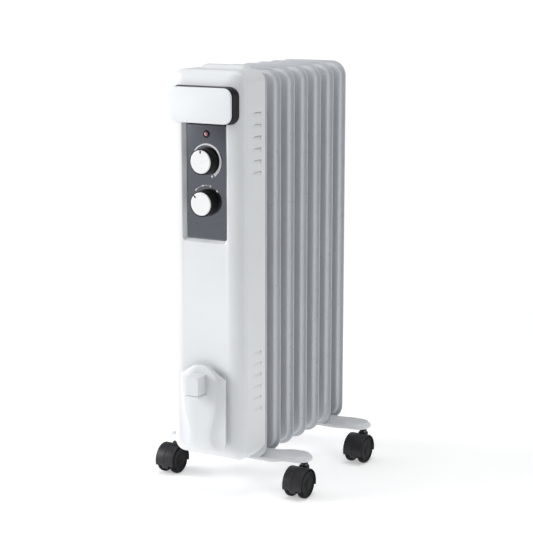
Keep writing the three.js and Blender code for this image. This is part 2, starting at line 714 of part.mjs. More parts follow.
// ---- feet ---------------------------------------------------------------------------------
const footMiddle = (end) => (end < 0 ? finY(0.5) : finY(FIN_COUNT - 1.5));
const casterY = (end) => footMiddle(end) - end * FOOT_LOBE_OFFSET;

// Plan of a foot about its strip's centre line; lean is towards the middle of the heater.
function footPlan(lean, z, stripShrink, lobeShrink = stripShrink) {
  const strip = FOOT_STRIP_HALF_WIDTH - stripShrink;
  const lobe = FOOT_LOBE_HALF_WIDTH - lobeShrink;
  const tip = FOOT_HALF_LENGTH - lobeShrink;
  const round = 4;
  const end = Array.from({ length: round + 1 }, (_, k) => {
    const angle = (Math.PI / 2) * (k / round);
    return [tip - lobe * 0.9 * (1 - Math.cos(angle)), lobe * Math.sin(angle)];
  });
  const blend = (side) => [
    [FOOT_LOBE_START_X, lean + side * lobe],
    [FOOT_STRIP_END_X, side * strip],
  ];
  const upper = [...end.map(([x, y]) => [x, y + lean]), ...blend(1)];
  const lower = [...end.map(([x, y]) => [x, lean - y]), ...blend(-1)];
  const right = [...lower.reverse(), ...upper.slice(1)];
  const left = [...right].reverse().map(([x, y]) => [-x, y]);
  return { points: [...right, ...left], z };
}

// Joins rings of X,Y points, listed from the lowest up, into one closed solid.
function stack(rings) {
  const layers = rings.map(({ points, z }) => ({ points, y: -z }));
  return loft(layers.reverse()).rotateX(-Math.PI / 2);
}

function foot(end) {
  const lean = -end * FOOT_LOBE_OFFSET;
  const skin = stack([
    footPlan(lean, FOOT_BOTTOM, 0),
    footPlan(lean, FOOT_SHOULDER, 0),
    footPlan(lean, FOOT_TOP, FOOT_STRIP_LEAN_IN, FOOT_LOBE_LEAN_IN),
  ]);
  const hollow = stack([
    footPlan(lean, FOOT_BOTTOM - OVERCUT, FOOT_SHEET),
    footPlan(lean, FOOT_SHOULDER - 1, FOOT_SHEET),
    footPlan(lean, FOOT_TOP - FOOT_SHEET, FOOT_STRIP_LEAN_IN, FOOT_LOBE_LEAN_IN),
  ]);
  const reach = FOOT_LOBE_HALF_WIDTH + FOOT_LOBE_OFFSET + OVERCUT;
  const undercuts = [-1, 1].map((side) => {
    const shape = new THREE.Shape([
      new THREE.Vector2(side * FOOT_STRIP_END_X, FOOT_BOTTOM - 2 * OVERCUT),
      new THREE.Vector2(side * (FOOT_HALF_LENGTH + OVERCUT), FOOT_BOTTOM - 2 * OVERCUT),
      new THREE.Vector2(side * (FOOT_HALF_LENGTH + OVERCUT), FOOT_LOBE_BOTTOM),
      new THREE.Vector2(side * CASTER_X, FOOT_LOBE_BOTTOM),
      new THREE.Vector2(side * (CASTER_X - FOOT_LOBE_HALF_WIDTH), FOOT_LOBE_BOTTOM - 1),
      new THREE.Vector2(side * FOOT_STRIP_END_X, FOOT_BOTTOM - 0.2),
    ]);
    return slab(shape, -reach, reach);
  });
  const sockets = [-1, 1].map((side) =>
    rod('z', STEM_RADIUS + 3, FOOT_BOTTOM, FOOT_TOP - 1, side * CASTER_X, lean, 12));
  const holes = [-1, 1].flatMap((side) => [
    rod('z', STEM_RADIUS + GAP, FOOT_BOTTOM - OVERCUT, FOOT_TOP - FOOT_SHEET, side * CASTER_X, lean),
    rod('z', CLAMP_ROD + GAP, FOOT_BOTTOM, FOOT_TOP + OVERCUT, side * CLAMP_LEG_X, 0, 8),
  ]);
  const whole = join(cut(skin, hollow), ...sockets);
  return cut(whole, ...holes, ...undercuts).translate(0, footMiddle(end), 0);
}

// U-bolt over the lower gallery neck; its legs pass through the foot.
function footClamp(end) {
  const low = FOOT_BOTTOM + 0.5;
  const z = GALLERIES[0];
  const bend = Array.from({ length: 9 }, (_, k) => {
    const angle = Math.PI * (1 - k / 8);
    return new THREE.Vector3(CLAMP_LEG_X * Math.cos(angle), 0, z + CLAMP_LEG_X * Math.sin(angle));
  });
  const points = [
    new THREE.Vector3(-CLAMP_LEG_X, 0, low),
    ...bend,
    new THREE.Vector3(CLAMP_LEG_X, 0, low),
  ];
  const curve = new THREE.CatmullRomCurve3(points, false, 'centripetal');
  const section = new THREE.Shape().absarc(0, 0, CLAMP_ROD, 0, 2 * Math.PI);
  const options = { steps: 22, curveSegments: 2, bevelEnabled: false, extrudePath: curve };
  return new THREE.ExtrudeGeometry(section, options).translate(0, footMiddle(end), 0);
}

function wingNut(side, end) {
  const high = FOOT_TOP - FOOT_SHEET - GAP;
  const low = high - WING_NUT_HEIGHT;
  const x = side * CLAMP_LEG_X;
  const hub = rod('z', WING_NUT_RADIUS, low, high, 0, 0, 8);
  const wings = box(-WING_REACH, WING_REACH, -WING_HALF_THICK, WING_HALF_THICK, low, high - 1);
  const bore = rod('z', CLAMP_ROD + GAP, low - OVERCUT, high + OVERCUT, 0, 0, 8);
  return cut(join(hub, wings), bore).translate(x, footMiddle(end), 0);
}

// ---- casters: drawn about the stem axis, the wheels trail towards -Y ----------------------
function casterStem() {
  const top = FOOT_TOP - FOOT_SHEET - GAP;
  const collarTop = FOOT_LOBE_BOTTOM - GAP;
  const shank = rod('z', STEM_RADIUS, STEM_FOOT_Z, top, 0, 0, 16);
  return join(
    shank, rod('z', STEM_COLLAR_RADIUS, collarTop - STEM_COLLAR_THICK, collarTop, 0, 0, 16));
}

function hoodSector(radius, halfWidth) {
  const sector = new THREE.Shape();
  const start = HOOD_END_ANGLE;
  const end = Math.PI - HOOD_END_ANGLE;
  sector.absarc(0, 0, radius, start, end);
  sector.closePath();
  const options = { depth: 2 * halfWidth, bevelEnabled: false, curveSegments: 12 };
  const solid = new THREE.ExtrudeGeometry(sector, options);
  return solid.translate(0, 0, -halfWidth).rotateX(Math.PI / 2).rotateZ(Math.PI / 2);
}

function casterHood() {
  const fender = cut(
    hoodSector(HOOD_OUTER_RADIUS, CASTER_HALF_WIDTH),
    rod('x', HOOD_INNER_RADIUS, -CASTER_HALF_WIDTH - 1, CASTER_HALF_WIDTH + 1, 0, 0, 24),
  );
  const webHalf = HOOD_WEB_HALF_WIDTH;
  const reach = HOOD_OUTER_RADIUS + OVERCUT;
  const web = rod('x', HOOD_INNER_RADIUS + 2 * GAP, -webHalf, webHalf, 0, 0, 24);
  const below = box(-webHalf - 1, webHalf + 1, -reach, reach, -reach, -HOOD_LOW_CUT);
  const bossTop = HOOD_OUTER_RADIUS - HOOD_LID;
  const boss = rod('z', HOOD_BOSS_RADIUS, HOOD_BOSS_LOW, bossTop, 0, CASTER_TRAIL, 12);
  const whole = join(fender, cut(web, below), boss);
  const stemLow = STEM_FOOT_Z - WHEEL_RADIUS - GAP;
  const stemBore = rod('z', STEM_RADIUS + GAP, stemLow, reach, 0, CASTER_TRAIL, 16);
  const axleBore = rod('x', AXLE_RADIUS + 0.1, -webHalf - 1, webHalf + 1, 0, 0, 12);
  const wheelRoom = [-1, 1].map((side) => {
    const x = [side * (WHEEL_INNER_X - 0.5), side * (CASTER_HALF_WIDTH + 1)].sort((a, b) => a - b);
    return rod('x', HOOD_INNER_RADIUS, x[0], x[1], 0, 0, 24);
  });
  const wheelAxis = [0, -CASTER_TRAIL, WHEEL_RADIUS];
  return cut(whole, stemBore, axleBore, ...wheelRoom).translate(...wheelAxis);
}

function casterAxle() {
  const half = AXLE_HALF_LENGTH;
  return rod('x', AXLE_RADIUS, -half, half, -CASTER_TRAIL, WHEEL_RADIUS, 12);
}

// The tread has flats, one of them on the floor.
function casterWheel(side) {
  const flat = Math.cos(Math.PI / WHEEL_SIDES);
  const rim = WHEEL_RADIUS / flat;
  const profile = [
    [AXLE_RADIUS + GAP, WHEEL_INNER_X],
    [rim, WHEEL_INNER_X],
    [rim, WHEEL_OUTER_X],
    [0, WHEEL_OUTER_X],
    [0, WHEEL_OUTER_X - WHEEL_WEB],
    [AXLE_RADIUS + GAP, WHEEL_OUTER_X - WHEEL_WEB],
    [AXLE_RADIUS + GAP, WHEEL_INNER_X],
  ];
  const wheel = turned(profile, 0, 0, WHEEL_SIDES).rotateY(Math.PI / WHEEL_SIDES);
  wheel.rotateZ(-side * Math.PI / 2);
  return wheel.translate(0, -CASTER_TRAIL, WHEEL_RADIUS);
}

function addCaster(label, side, end) {
  const caster = new THREE.Group();
  caster.position.set(side * CASTER_X, casterY(end), 0);
  heater.add(caster);
  add(`caster_stem_${label}`, casterStem(), steel(), caster);
  add(`caster_hood_${label}`, casterHood(), blackPlastic(), caster);
  add(`caster_axle_${label}`, casterAxle(), steel(), caster);
  add(`caster_wheel_${label}_left`, casterWheel(-1), wheelPlastic(), caster);
  add(`caster_wheel_${label}_right`, casterWheel(1), wheelPlastic(), caster);
}

// ---- small parts on the heat shield -------------------------------------------------------
const SHIELD_FACE_Y = SHIELD_Y - GAP;

// A block on the shield about a middle point.
function mounted(x, z, halfWidth, halfHeight, depth) {
  return box(
    x - halfWidth, x + halfWidth, SHIELD_FACE_Y - depth, SHIELD_FACE_Y, z - halfHeight, z + halfHeight);
}

function tipOverSwitch() {
  const [x, z, depth] = [-35, 139, 14];
  const button = rod('y', 4, SHIELD_FACE_Y - depth - 4, SHIELD_FACE_Y - depth + 1, x, z, 12);
  return join(mounted(x, z, 11, 16, depth), button);
}

function thermalCutout() {
  const [x, z, depth] = [20, 335, 9];
  const can = rod('y', 8, SHIELD_FACE_Y - depth, SHIELD_FACE_Y, x, z, 16);
  return join(can, mounted(x, z, 14, 3, depth / 3));
}

function terminalBlock() {
  const [z, depth, pitch] = [255, 12, 12];
  const screws = [-pitch, 0, pitch].map((x) =>
    rod('y', 3, SHIELD_FACE_Y - depth - 3, SHIELD_FACE_Y - depth + 1, x, z, 8));
  return join(mounted(0, z, 20, 9, depth), ...screws);
}

// ---- assembly -----------------------------------------------------------------------------
for (let number = 0; number < FIN_COUNT; number += 1) {
  add(`fin_${number + 1}`, fin(number).translate(0, finY(number), 0), whitePaint());
}
add('oil_fill_plug', fillPlug(), brass());
add('heating_element', heatingElement(), steel());

add('front_shell', frontShell(), whitePlastic());
add('side_shell', sideShell(), whitePlastic());
add('heat_shield', heatShield(), steel());
add('cord_gland', cordGland(), blackPlastic());

add('control_panel', controlPanel(), panelPlastic());
add('lamp_bezel', lampBezel(), blackPlastic());
add('lamp_lens', lampLens(), lensRed());
add('thermostat', switchBody(THERMOSTAT_Z, 16, 15), steel());
add('thermostat_shaft', controlShaft(THERMOSTAT_Z), steel());
add('thermostat_knob', knobBody(THERMOSTAT_Z), blackPlastic());
add('thermostat_knob_cap', knobCap(THERMOSTAT_Z, 0), whitePlastic());
add('selector_switch', switchBody(SELECTOR_Z, 14, 14), blackPlastic());
add('selector_shaft', controlShaft(SELECTOR_Z), steel());
add('selector_knob', knobBody(SELECTOR_Z), blackPlastic());
add('selector_knob_cap', knobCap(SELECTOR_Z, SELECTOR_REST_ANGLE), whitePlastic());

add('handle_grip', handleGrip(), blackPlastic());
add('handle_plate', handlePlate(), whitePlastic());
add('cord_holder', cordHolder(), whitePlastic());

add('tip_over_switch', tipOverSwitch(), blackPlastic());
add('thermal_cutout', thermalCutout(), steel());
add('terminal_block', terminalBlock(), whitePlastic());

const ENDS = [['front', -1], ['rear', 1]];
const SIDES = [['left', -1], ['right', 1]];
for (const [endName, end] of ENDS) {
  add(`${endName}_foot`, foot(end), whitePaint());
  add(`${endName}_foot_clamp`, footClamp(end), steel());
  for (const [sideName, side] of SIDES) {
    add(`${endName}_wing_nut_${sideName}`, wingNut(side, end), steel());
    addCaster(`${endName}_${sideName}`, side, end);
  }
}

const rearFace = finY(FIN_COUNT - 1) + FIN_CREST;
heater.position.y = -(HOOK_FRONT_Y + rearFace) / 2;

export default heater;
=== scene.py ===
"""Oil filled radiator heater: the pieces that show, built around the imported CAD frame.

Shapes are worked out in millimetres in the row frame (+Z up, the controls face -Y) and turned into
metres when a mesh is made. Depths are counted back from the front plane of the housing.
"""

import math

import bmesh
import bpy
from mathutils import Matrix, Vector


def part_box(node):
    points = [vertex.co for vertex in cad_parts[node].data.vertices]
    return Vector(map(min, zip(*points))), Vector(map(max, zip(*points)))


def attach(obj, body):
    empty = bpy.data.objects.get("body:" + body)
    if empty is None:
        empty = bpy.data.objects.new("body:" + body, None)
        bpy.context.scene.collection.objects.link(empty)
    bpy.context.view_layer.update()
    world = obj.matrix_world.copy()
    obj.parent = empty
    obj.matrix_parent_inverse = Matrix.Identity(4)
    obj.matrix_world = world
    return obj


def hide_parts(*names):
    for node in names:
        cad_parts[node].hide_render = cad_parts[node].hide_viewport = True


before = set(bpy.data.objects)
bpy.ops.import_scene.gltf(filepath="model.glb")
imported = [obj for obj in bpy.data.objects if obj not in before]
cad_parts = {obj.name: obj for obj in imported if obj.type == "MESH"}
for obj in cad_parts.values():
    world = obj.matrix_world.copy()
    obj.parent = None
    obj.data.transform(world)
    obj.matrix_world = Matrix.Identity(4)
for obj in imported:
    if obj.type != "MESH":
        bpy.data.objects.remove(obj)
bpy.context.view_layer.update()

MM = 0.001
GAP = 0.3  # clearance between neighbouring pieces
WELD = 0.004  # points closer than this are one point
ROOT = "heater"
SIDES = (("left", -1), ("right", 1))
ENDS = (("front", -1), ("rear", 1))


class Extent:
    """The box of a CAD node, in millimetres."""

    def __init__(self, node):
        low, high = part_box(node)
        self.x0, self.y0, self.z0 = (value / MM for value in low)
        self.x1, self.y1, self.z1 = (value / MM for value in high)
        self.cx = (self.x0 + self.x1) / 2
        self.cy = (self.y0 + self.y1) / 2
        self.cz = (self.z0 + self.z1) / 2


front = Extent("front_shell")
side_shell = Extent("side_shell")
FRONT = front.y0  # the front plane of the housing
HALF = front.x1
CREASE = front.y1
FIN = Extent("fin_2")
FIN_PITCH = Extent("fin_3").cy - FIN.cy


# ---- materials ----
def set_sockets(node, **values):
    for socket, value in values.items():
        node.inputs[socket.replace("_", " ")].default_value = value


def new_node(nodes, kind, **values):
    """A new shader node with these values in its sockets."""
    node = nodes.new(f"ShaderNode{kind}")
    set_sockets(node, **values)
    return node


class Shader:
    """A small builder for a procedural material around one Principled shader."""

    def __init__(self, name, colour, roughness, **sockets):
        self.material = bpy.data.materials.new(name)
        self.material.use_nodes = True
        self.nodes = self.material.node_tree.nodes
        self.links = self.material.node_tree.links
        self.base = self.nodes["Principled BSDF"]
        self.colour = colour
        set_sockets(self.base, Base_Color=(*colour, 1), Roughness=roughness, **sockets)
        self.place = self.nodes.new("ShaderNodeTexCoord").outputs["Object"]

    def stretched(self, scale):
        mapping = new_node(self.nodes, "Mapping", Scale=scale)
        self.links.new(self.place, mapping.inputs["Vector"])
        return mapping.outputs["Vector"]

    def noise(self, scale, detail=3.0, stretch=None):
        texture = new_node(self.nodes, "TexNoise", Scale=scale, Detail=detail)
        vector = self.place if stretch is None else self.stretched(stretch)
        self.links.new(vector, texture.inputs["Vector"])
        return texture.outputs["Fac"]

    def cells(self, scale):
        texture = new_node(self.nodes, "TexVoronoi", Scale=scale)
        self.links.new(self.place, texture.inputs["Vector"])
        return texture.outputs["Distance"]

    def ranged(self, value, low, high):
        node = new_node(self.nodes, "MapRange", From_Min=0.3, From_Max=0.7, To_Min=low, To_Max=high)
        self.links.new(value, node.inputs["Value"])
        return node.outputs["Result"]

    def tint(self, value, other):
        """Mixes the base colour towards another one where value is high."""
        mix = self.nodes.new("ShaderNodeMix")
        mix.data_type = "RGBA"
        mix.inputs["A"].default_value = (*self.colour, 1)
        mix.inputs["B"].default_value = (*other, 1)
        self.links.new(self.ranged(value, 0.0, 1.0), mix.inputs["Factor"])
        self.links.new(mix.outputs["Result"], self.base.inputs["Base Color"])
        return self

    def rough(self, value, low, high):
        self.links.new(self.ranged(value, low, high), self.base.inputs["Roughness"])
        return self

    def bump(self, value, distance_mm, strength=1.0):
        bump = new_node(self.nodes, "Bump", Strength=strength, Distance=distance_mm * MM)
        self.links.new(value, bump.inputs["Height"])
        previous = self.base.inputs["Normal"].links
        if previous:
            self.links.new(previous[0].from_socket, bump.inputs["Normal"])
        self.links.new(bump.outputs["Normal"], self.base.inputs["Normal"])
        return self


def shaded(colour, factor):
    """The colour made darker or lighter."""
    return tuple(min(1.0, channel * factor) for channel in colour)


def moulded(name, colour, roughness, grain_mm=0.012, grain_scale=2600, **sockets):
    """Moulded plastic: fine grain, faint flow variation and uneven gloss."""
    made = Shader(name, colour, roughness, **sockets)
    made.tint(made.noise(9, 2), shaded(colour, 0.965))
    made.rough(made.noise(60, 4), roughness - 0.05, roughness + 0.06)
    made.bump(made.noise(14, 2), 0.12, 0.35)
    return made.bump(made.noise(grain_scale, 2), grain_mm, 0.6).material


def powder_coat(name, colour, roughness):
    """Stoved paint on pressed steel, with orange peel."""
    made = Shader(name, colour, roughness, Coat_Weight=0.25, Coat_Roughness=0.2)
    made.tint(made.noise(16, 3), shaded(colour, 0.95))
    made.rough(made.noise(90, 3), roughness - 0.05, roughness + 0.08)
    made.bump(made.noise(420, 2), 0.05, 0.45)
    return made.bump(made.noise(20, 2), 0.2, 0.25).material


def zinc(name):
    """Bright zinc on steel, with a faint spangle and drawing lines."""
    colour = (0.62, 0.63, 0.66)
    made = Shader(name, colour, 0.3, Metallic=1.0)
    made.tint(made.cells(320), shaded(colour, 0.82))
    made.rough(made.noise(240, 4), 0.22, 0.42)
    return made.bump(made.noise(900, 2, (1, 1, 0.06)), 0.02, 0.5).material


def aluminised(name):
    """Dull coated sheet steel, faintly streaked along the rolling direction."""
    colour = (0.55, 0.56, 0.58)
    made = Shader(name, colour, 0.4, Metallic=1.0)
    made.tint(made.noise(40, 5), shaded(colour, 0.8))
    made.rough(made.noise(500, 3, (0.1, 1, 1)), 0.3, 0.5)
    return made.bump(made.noise(700, 2, (0.1, 1, 1)), 0.02, 0.4).material


def brass():
    """Machined brass, slightly tarnished."""
    colour = (0.56, 0.38, 0.13)
    made = Shader("brass", colour, 0.3, Metallic=1.0)
    made.tint(made.noise(120, 4), shaded(colour, 0.7))
    return made.rough(made.noise(300, 3), 0.25, 0.45).material


def panel_finish():
    """Polished grey metallic lacquer."""
    colour = (0.192, 0.204, 0.23)
    made = Shader("panel_lacquer", colour, 0.14, Metallic=1.0)
    made.tint(made.noise(3200, 1), shaded(colour, 1.12))
    made.rough(made.noise(1500, 2), 0.1, 0.18)
    return made.bump(made.noise(18, 2), 0.03, 0.25).material


def lens_finish():
    """Red lamp plastic with a small faceted pattern under a clear surface."""
    colour = (0.5, 0.17, 0.175)
    made = Shader("lamp_lens_red", colour, 0.12, Coat_Weight=1.0, Coat_Roughness=0.03)
    made.tint(made.cells(900), (0.62, 0.3, 0.31))
    return made.bump(made.cells(900), 0.1, 0.5).material


def nylon_wheel_painted_shade():
    """Black nylon, a little scuffed where it has rolled; darker than the hood's black, as painted shade on
    the wheel faces.
    """
    colour = (0.005, 0.005, 0.006)
    made = Shader("wheel_nylon_painted_shade", colour, 0.42, Specular_IOR_Level=0.08)
    made.tint(made.noise(150, 6), (0.012, 0.012, 0.013))
    made.rough(made.noise(220, 5), 0.34, 0.58)
    return made.bump(made.noise(1800, 3), 0.02, 0.6).material


def ink():
    """Matt white screen print."""
    colour = (0.97, 0.975, 0.98)
    made = Shader("panel_ink", colour, 0.45)
    made.tint(made.noise(700, 2), shaded(colour, 0.93))
    return made.bump(made.noise(3000, 2), 0.01, 0.5).material


WHITE = moulded("white_plastic", (0.80, 0.82, 0.835), 0.42, Coat_Weight=0.08, Coat_Roughness=0.24)
PLATE = moulded("handle_white", (0.86, 0.885, 0.90), 0.34, Coat_Weight=0.1, Coat_Roughness=0.2)
CAP = moulded("cap_white", (0.93, 0.94, 0.94), 0.28, Coat_Weight=0.4, Coat_Roughness=0.08)
BLACK = moulded("black_plastic", (0.008, 0.008, 0.0095), 0.36, grain_mm=0.03, grain_scale=1500,
                Specular_IOR_Level=0.22)
# The hood's black is lighter than the wheels' black, as painted light on the front of the hood; the stem
# collar shares it.
HOOD_PAINTED_LIGHT = moulded("caster_black_painted_light", (0.024, 0.024, 0.027), 0.4, grain_mm=0.04, grain_scale=1100,
               Specular_IOR_Level=0.3)
INNER_WHITE = moulded("terminal_white", (0.7, 0.69, 0.64), 0.5)
# The cord holder's white is a darker copy of the housing's white plastic: painted shade on the holder.
HOLDER_WHITE_PAINTED_SHADE = moulded("holder_white_painted_shade", (0.74, 0.76, 0.785), 0.36, Coat_Weight=0.1, Coat_Roughness=0.15)
WHEEL_PAINTED_SHADE = nylon_wheel_painted_shade()
# The fins' coat is a darker grey than the white housing and feet, so that it stands in for the shade between
# the fins: painted shade.
FIN_COAT_PAINTED_SHADE = powder_coat("fin_powder_coat_painted_shade", (0.60, 0.622, 0.655), 0.3)
FOOT_PAINT = powder_coat("foot_powder_coat", (0.84, 0.86, 0.88), 0.4)
STEEL = zinc("zinc_steel")
SHEET = aluminised("aluminised_sheet")
BRASS = brass()
PANEL = panel_finish()
LENS = lens_finish()
INK = ink()


# ---- mesh code ----
def arc(cu, cv, radius_u, radius_v, start, stop, steps):
    """Points on a stretch of a circle or ellipse about (cu, cv), between two angles in degrees."""
    points = []
    for step in range(steps + 1):
        angle = math.radians(start + (stop - start) * step / steps)
        points.append((cu + radius_u * math.cos(angle), cv + radius_v * math.sin(angle)))
    return points


def box_outline(half, low, high, low_corner, high_corner, steps):
    """Points of a box about the middle plane with round corners, counter-clockwise."""
    points = []
    for cu, cv, radius, start in (
        (half - low_corner, low + low_corner, low_corner, -90),
        (half - high_corner, high - high_corner, high_corner, 0),
        (high_corner - half, high - high_corner, high_corner, 90),
        (low_corner - half, low + low_corner, low_corner, 180),
    ):
        points += arc(cu, cv, radius, radius, start, start + 90, steps)
    return points


def rounded(half, low, high, radius, steps=10):
    """The same with four equal corners."""
    return box_outline(half, low, high, radius, radius, steps)


def circle(radius, steps=64, cu=0.0, cv=0.0):
    """Points of a circle about (cu, cv) in any plane."""
    turn = 2 * math.pi / steps
    return [(cu + radius * math.cos(turn * k), cv + radius * math.sin(turn * k)) for k in range(steps)]


def along_y(points, y):
    return [(u, y, v) for u, v in points]


def along_z(points, z):
    return [(u, v, z) for u, v in points]


def along_x(points, x):
    return [(x, u, v) for u, v in points]


def skin(rings, closed=False):
    """A surface through rings of equal length: capped at both ends, or closed into a loop."""
    count = len(rings[0])
    vertices = [point for ring in rings for point in ring]
    faces = []
    spans = len(rings) if closed else len(rings) - 1
    for span in range(spans):
        here = span * count
        there = ((span + 1) % len(rings)) * count
        for k in range(count):
            after = (k + 1) % count
            faces.append((here + k, there + k, there + after, here + after))
    if not closed:
        last = (len(rings) - 1) * count
        faces.append(tuple(range(count)))
        faces.append(tuple(last + k for k in reversed(range(count))))
    return vertices, faces


def turned(profile, place, cu=0.0, cv=0.0, steps=64, closed=False):
    """A turned shape; the profile is (radius, distance along the axis)."""
    rings = [place(circle(max(radius, 1e-5), steps, cu, cv), along) for radius, along in profile]
    return skin(rings, closed)


def prism(outline, place, low, high):
    """A straight shape: one outline placed at two levels."""
    return skin([place(outline, low), place(outline, high)])


def block(x0, x1, y0, y1, z0, z1):
    """A plain box between two opposite corners."""
    return prism([(x0, z0), (x1, z0), (x1, z1), (x0, z1)], along_y, y0, y1)


def fillet(radius, steps=4):
    """(inset, rise) pairs of a quarter-round edge, from its foot on the side to the face."""
    angles = [math.pi / 2 * step / steps for step in range(steps + 1)]
    return [(radius * (1 - math.cos(a)), radius * math.sin(a)) for a in angles]


def soft_slab(outline_at, y_front, y_back, radius, steps=4):
    """A plate between two depths whose outline_at(inset) shrinks in round front and back edges."""
    rounds = fillet(radius, steps)
    rings = [along_y(outline_at(inset), y_front + radius - rise) for inset, rise in reversed(rounds)]
    rings += [along_y(outline_at(inset), y_back - radius + rise) for inset, rise in rounds]
    return skin(rings)


def build_mesh(name, parts, sharp):
    """One mesh from lists of points in millimetres and their faces."""
    shape = bmesh.new()
    for vertices, faces in parts:
        made = [shape.verts.new(Vector(point) * MM) for point in vertices]
        for face in faces:
            shape.faces.new([made[index] for index in face])
    bmesh.ops.remove_doubles(shape, verts=shape.verts, dist=WELD * MM)
    bmesh.ops.recalc_face_normals(shape, faces=shape.faces)
    mesh = bpy.data.meshes.new(name)
    shape.to_mesh(mesh)
    shape.free()
    mark_edges(mesh, sharp)
    return mesh


def mark_edges(mesh, sharp):
    """Smooth faces, with a hard edge wherever two of them meet at more than the given angle."""
    shape = bmesh.new()
    shape.from_mesh(mesh)
    limit = math.radians(sharp)
    for face in shape.faces:
        face.smooth = True
    for edge in shape.edges:
        edge.smooth = len(edge.link_faces) == 2 and edge.calc_face_angle(0.0) < limit
    shape.to_mesh(mesh)
    shape.free()


def add_object(name, data):
    """A new object, linked to the scene."""
    obj = bpy.data.objects.new(name, data)
    bpy.context.scene.collection.objects.link(obj)
    return obj


def settle(obj):
    """Turns the object's modifiers into mesh."""
    graph = bpy.context.evaluated_depsgraph_get()
    mesh = bpy.data.meshes.new_from_object(obj.evaluated_get(graph))
    obj.modifiers.clear()
    obj.data = mesh


def carve(obj, cutters, operation="DIFFERENCE"):
    for cutter in cutters:
        tool = add_object("cutter", build_mesh("cutter", [cutter], 180))
        modifier = obj.modifiers.new("cut", "BOOLEAN")
        modifier.object = tool
        modifier.operation = operation
        modifier.solver = "EXACT"
        settle(obj)
        bpy.data.objects.remove(tool)


def piece(name, parts, material, body=ROOT, node=None, sharp=30, cutters=(), joins=()):
    """One finished piece: mesh, cuts, material and body, with the CAD node that it stands for hidden."""
    obj = add_object(name, build_mesh(name, parts, sharp))
    carve(obj, joins, "UNION")
    carve(obj, cutters)
    if cutters or joins:
        mark_edges(obj.data, sharp)
        obj.modifiers.new("even_shading", "WEIGHTED_NORMAL").keep_sharp = True
    obj.data.materials.clear()
    obj.data.materials.append(material)
    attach(obj, body)
    if node:
        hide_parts(node)
    return obj


# ---- radiator ----
FIN_CORNER = 23.3
FIN_CORNER_SHRINK = 0.62  # of the inset
FIN_LEAST_CORNER = 4.0
FIN_PROFILE = (  # (inset from the edge, half thickness) of a pressed fin
    (0.0, 0.35), (0.2, 0.7), (0.7, 0.9), (4.0, 0.92),  # the welded seam
    (4.5, 1.3), (4.9, 2.3), (5.2, 3.9), (5.5, 5.7), (5.9, 7.2), (6.6, 8.3), (7.7, 8.95),  # up to the crest
    (9.5, 9.2), (24.5, 9.2), (27.6, 8.9), (30.0, 7.9), (31.8, 6.4), (33.5, 4.8), (35.5, 3.7),  # oil channel
    (38.5, 3.2), (44.0, 3.2),  # the flat middle
)
FIN_COUNT = 7
GALLERY_INSET = 46
NECK_RADIUS = 18
NECK_SEAM = 0.1  # half the gap between two welded necks


def fin_middle(number):
    return FIN.cy + (number - 2) * FIN_PITCH


def fin_outline(inset):
    half = FIN.x1 - inset
    radius = max(FIN_CORNER - FIN_CORNER_SHRINK * inset, FIN_LEAST_CORNER)
    return rounded(half, FIN.z0 + inset, FIN.z1 - inset, radius, 9)


def neck(y, z, toward):
    """Half of the welded neck between two fins, flared where it leaves the pressing."""
    end = FIN_PITCH / 2 - NECK_SEAM
    profile = ((7, 3.0), (4, 4.2), (1.4, 6.6), (0, 10), (0, end - 2.2), (1.1, end - 1.3), (1.1, end))
    placed = [(NECK_RADIUS + wider, y + toward * out) for wider, out in profile]
    return turned(placed, along_y, 0, z, 40)


def gallery_dome(y, z, toward):
    """The closed end of a gallery, pressed out in the last sheet."""
    profile = ((8, 3.0), (5.5, 3.7), (3.6, 5.2), (1.8, 7.0), (-1.0, 8.2), (-5, 8.8), (-NECK_RADIUS, 8.9))
    placed = [(NECK_RADIUS + wider, y + toward * out) for wider, out in profile]
    return turned(placed, along_y, 0, z, 48)


def fin(number):
    """One pressed fin with its halves of the gallery necks, or closed ends on the outer fins."""
    y = fin_middle(number)
    rings = [along_y(fin_outline(inset), y - half) for inset, half in reversed(FIN_PROFILE)]
    rings += [along_y(fin_outline(inset), y + half) for inset, half in FIN_PROFILE]
    parts = [skin(rings)]
    for z in (FIN.z0 + GALLERY_INSET, FIN.z1 - GALLERY_INSET):
        parts.append(neck(y, z, -1) if number > 1 else gallery_dome(y, z, -1))
        parts.append(neck(y, z, 1) if number < FIN_COUNT else gallery_dome(y, z, 1))
    piece(f"radiator_fin_{number}", parts, FIN_COAT_PAINTED_SHADE, node=f"fin_{number}")


for number in range(1, FIN_COUNT + 1):
    fin(number)

# ---- housing ----
SHELL_CORNER = 19
SHELL_CORNER_SHRINK = 0.35  # of the inset
SHELL_LOWER_CORNER = 16
SHELL_LOWER_SHRINK = 0.3
SHELL_LEAST_CORNER = 3.0
SHELL_WALL = 2.5
CROWN = 28  # how far the pillow edge of the front shell reaches in
CROWN_START = 22.4  # inset at which its curve leaves the flat front
CREASE_DEPTH = CREASE - FRONT


def shell_outline(inset, steps=12):
    radius = max(SHELL_CORNER - SHELL_CORNER_SHRINK * inset, SHELL_LEAST_CORNER)
    lower = max(SHELL_LOWER_CORNER - SHELL_LOWER_SHRINK * inset, SHELL_LEAST_CORNER)
    return box_outline(HALF - inset, front.z0 + inset, front.z1 - inset, lower, radius, steps)


def crown_rings(wall, end_depth, steps=14):
    """Rings of the pillow edge from the flat front back towards the crease, set in by the wall."""
    rings = [along_y(shell_outline(CROWN_START + wall + 3), FRONT + wall)]
    first = math.asin(1 - CROWN_START / CROWN)
    for step in range(steps + 1):
        angle = first + (math.pi / 2 - first) * step / steps
        inset = (CROWN - wall) * (1 - math.sin(angle)) + wall
        lift = (1 - math.cos(angle)) - (1 - math.cos(first)) * (1 - step / steps)
        rings.append(along_y(shell_outline(inset), FRONT + wall + (end_depth - wall) * lift))
    return rings


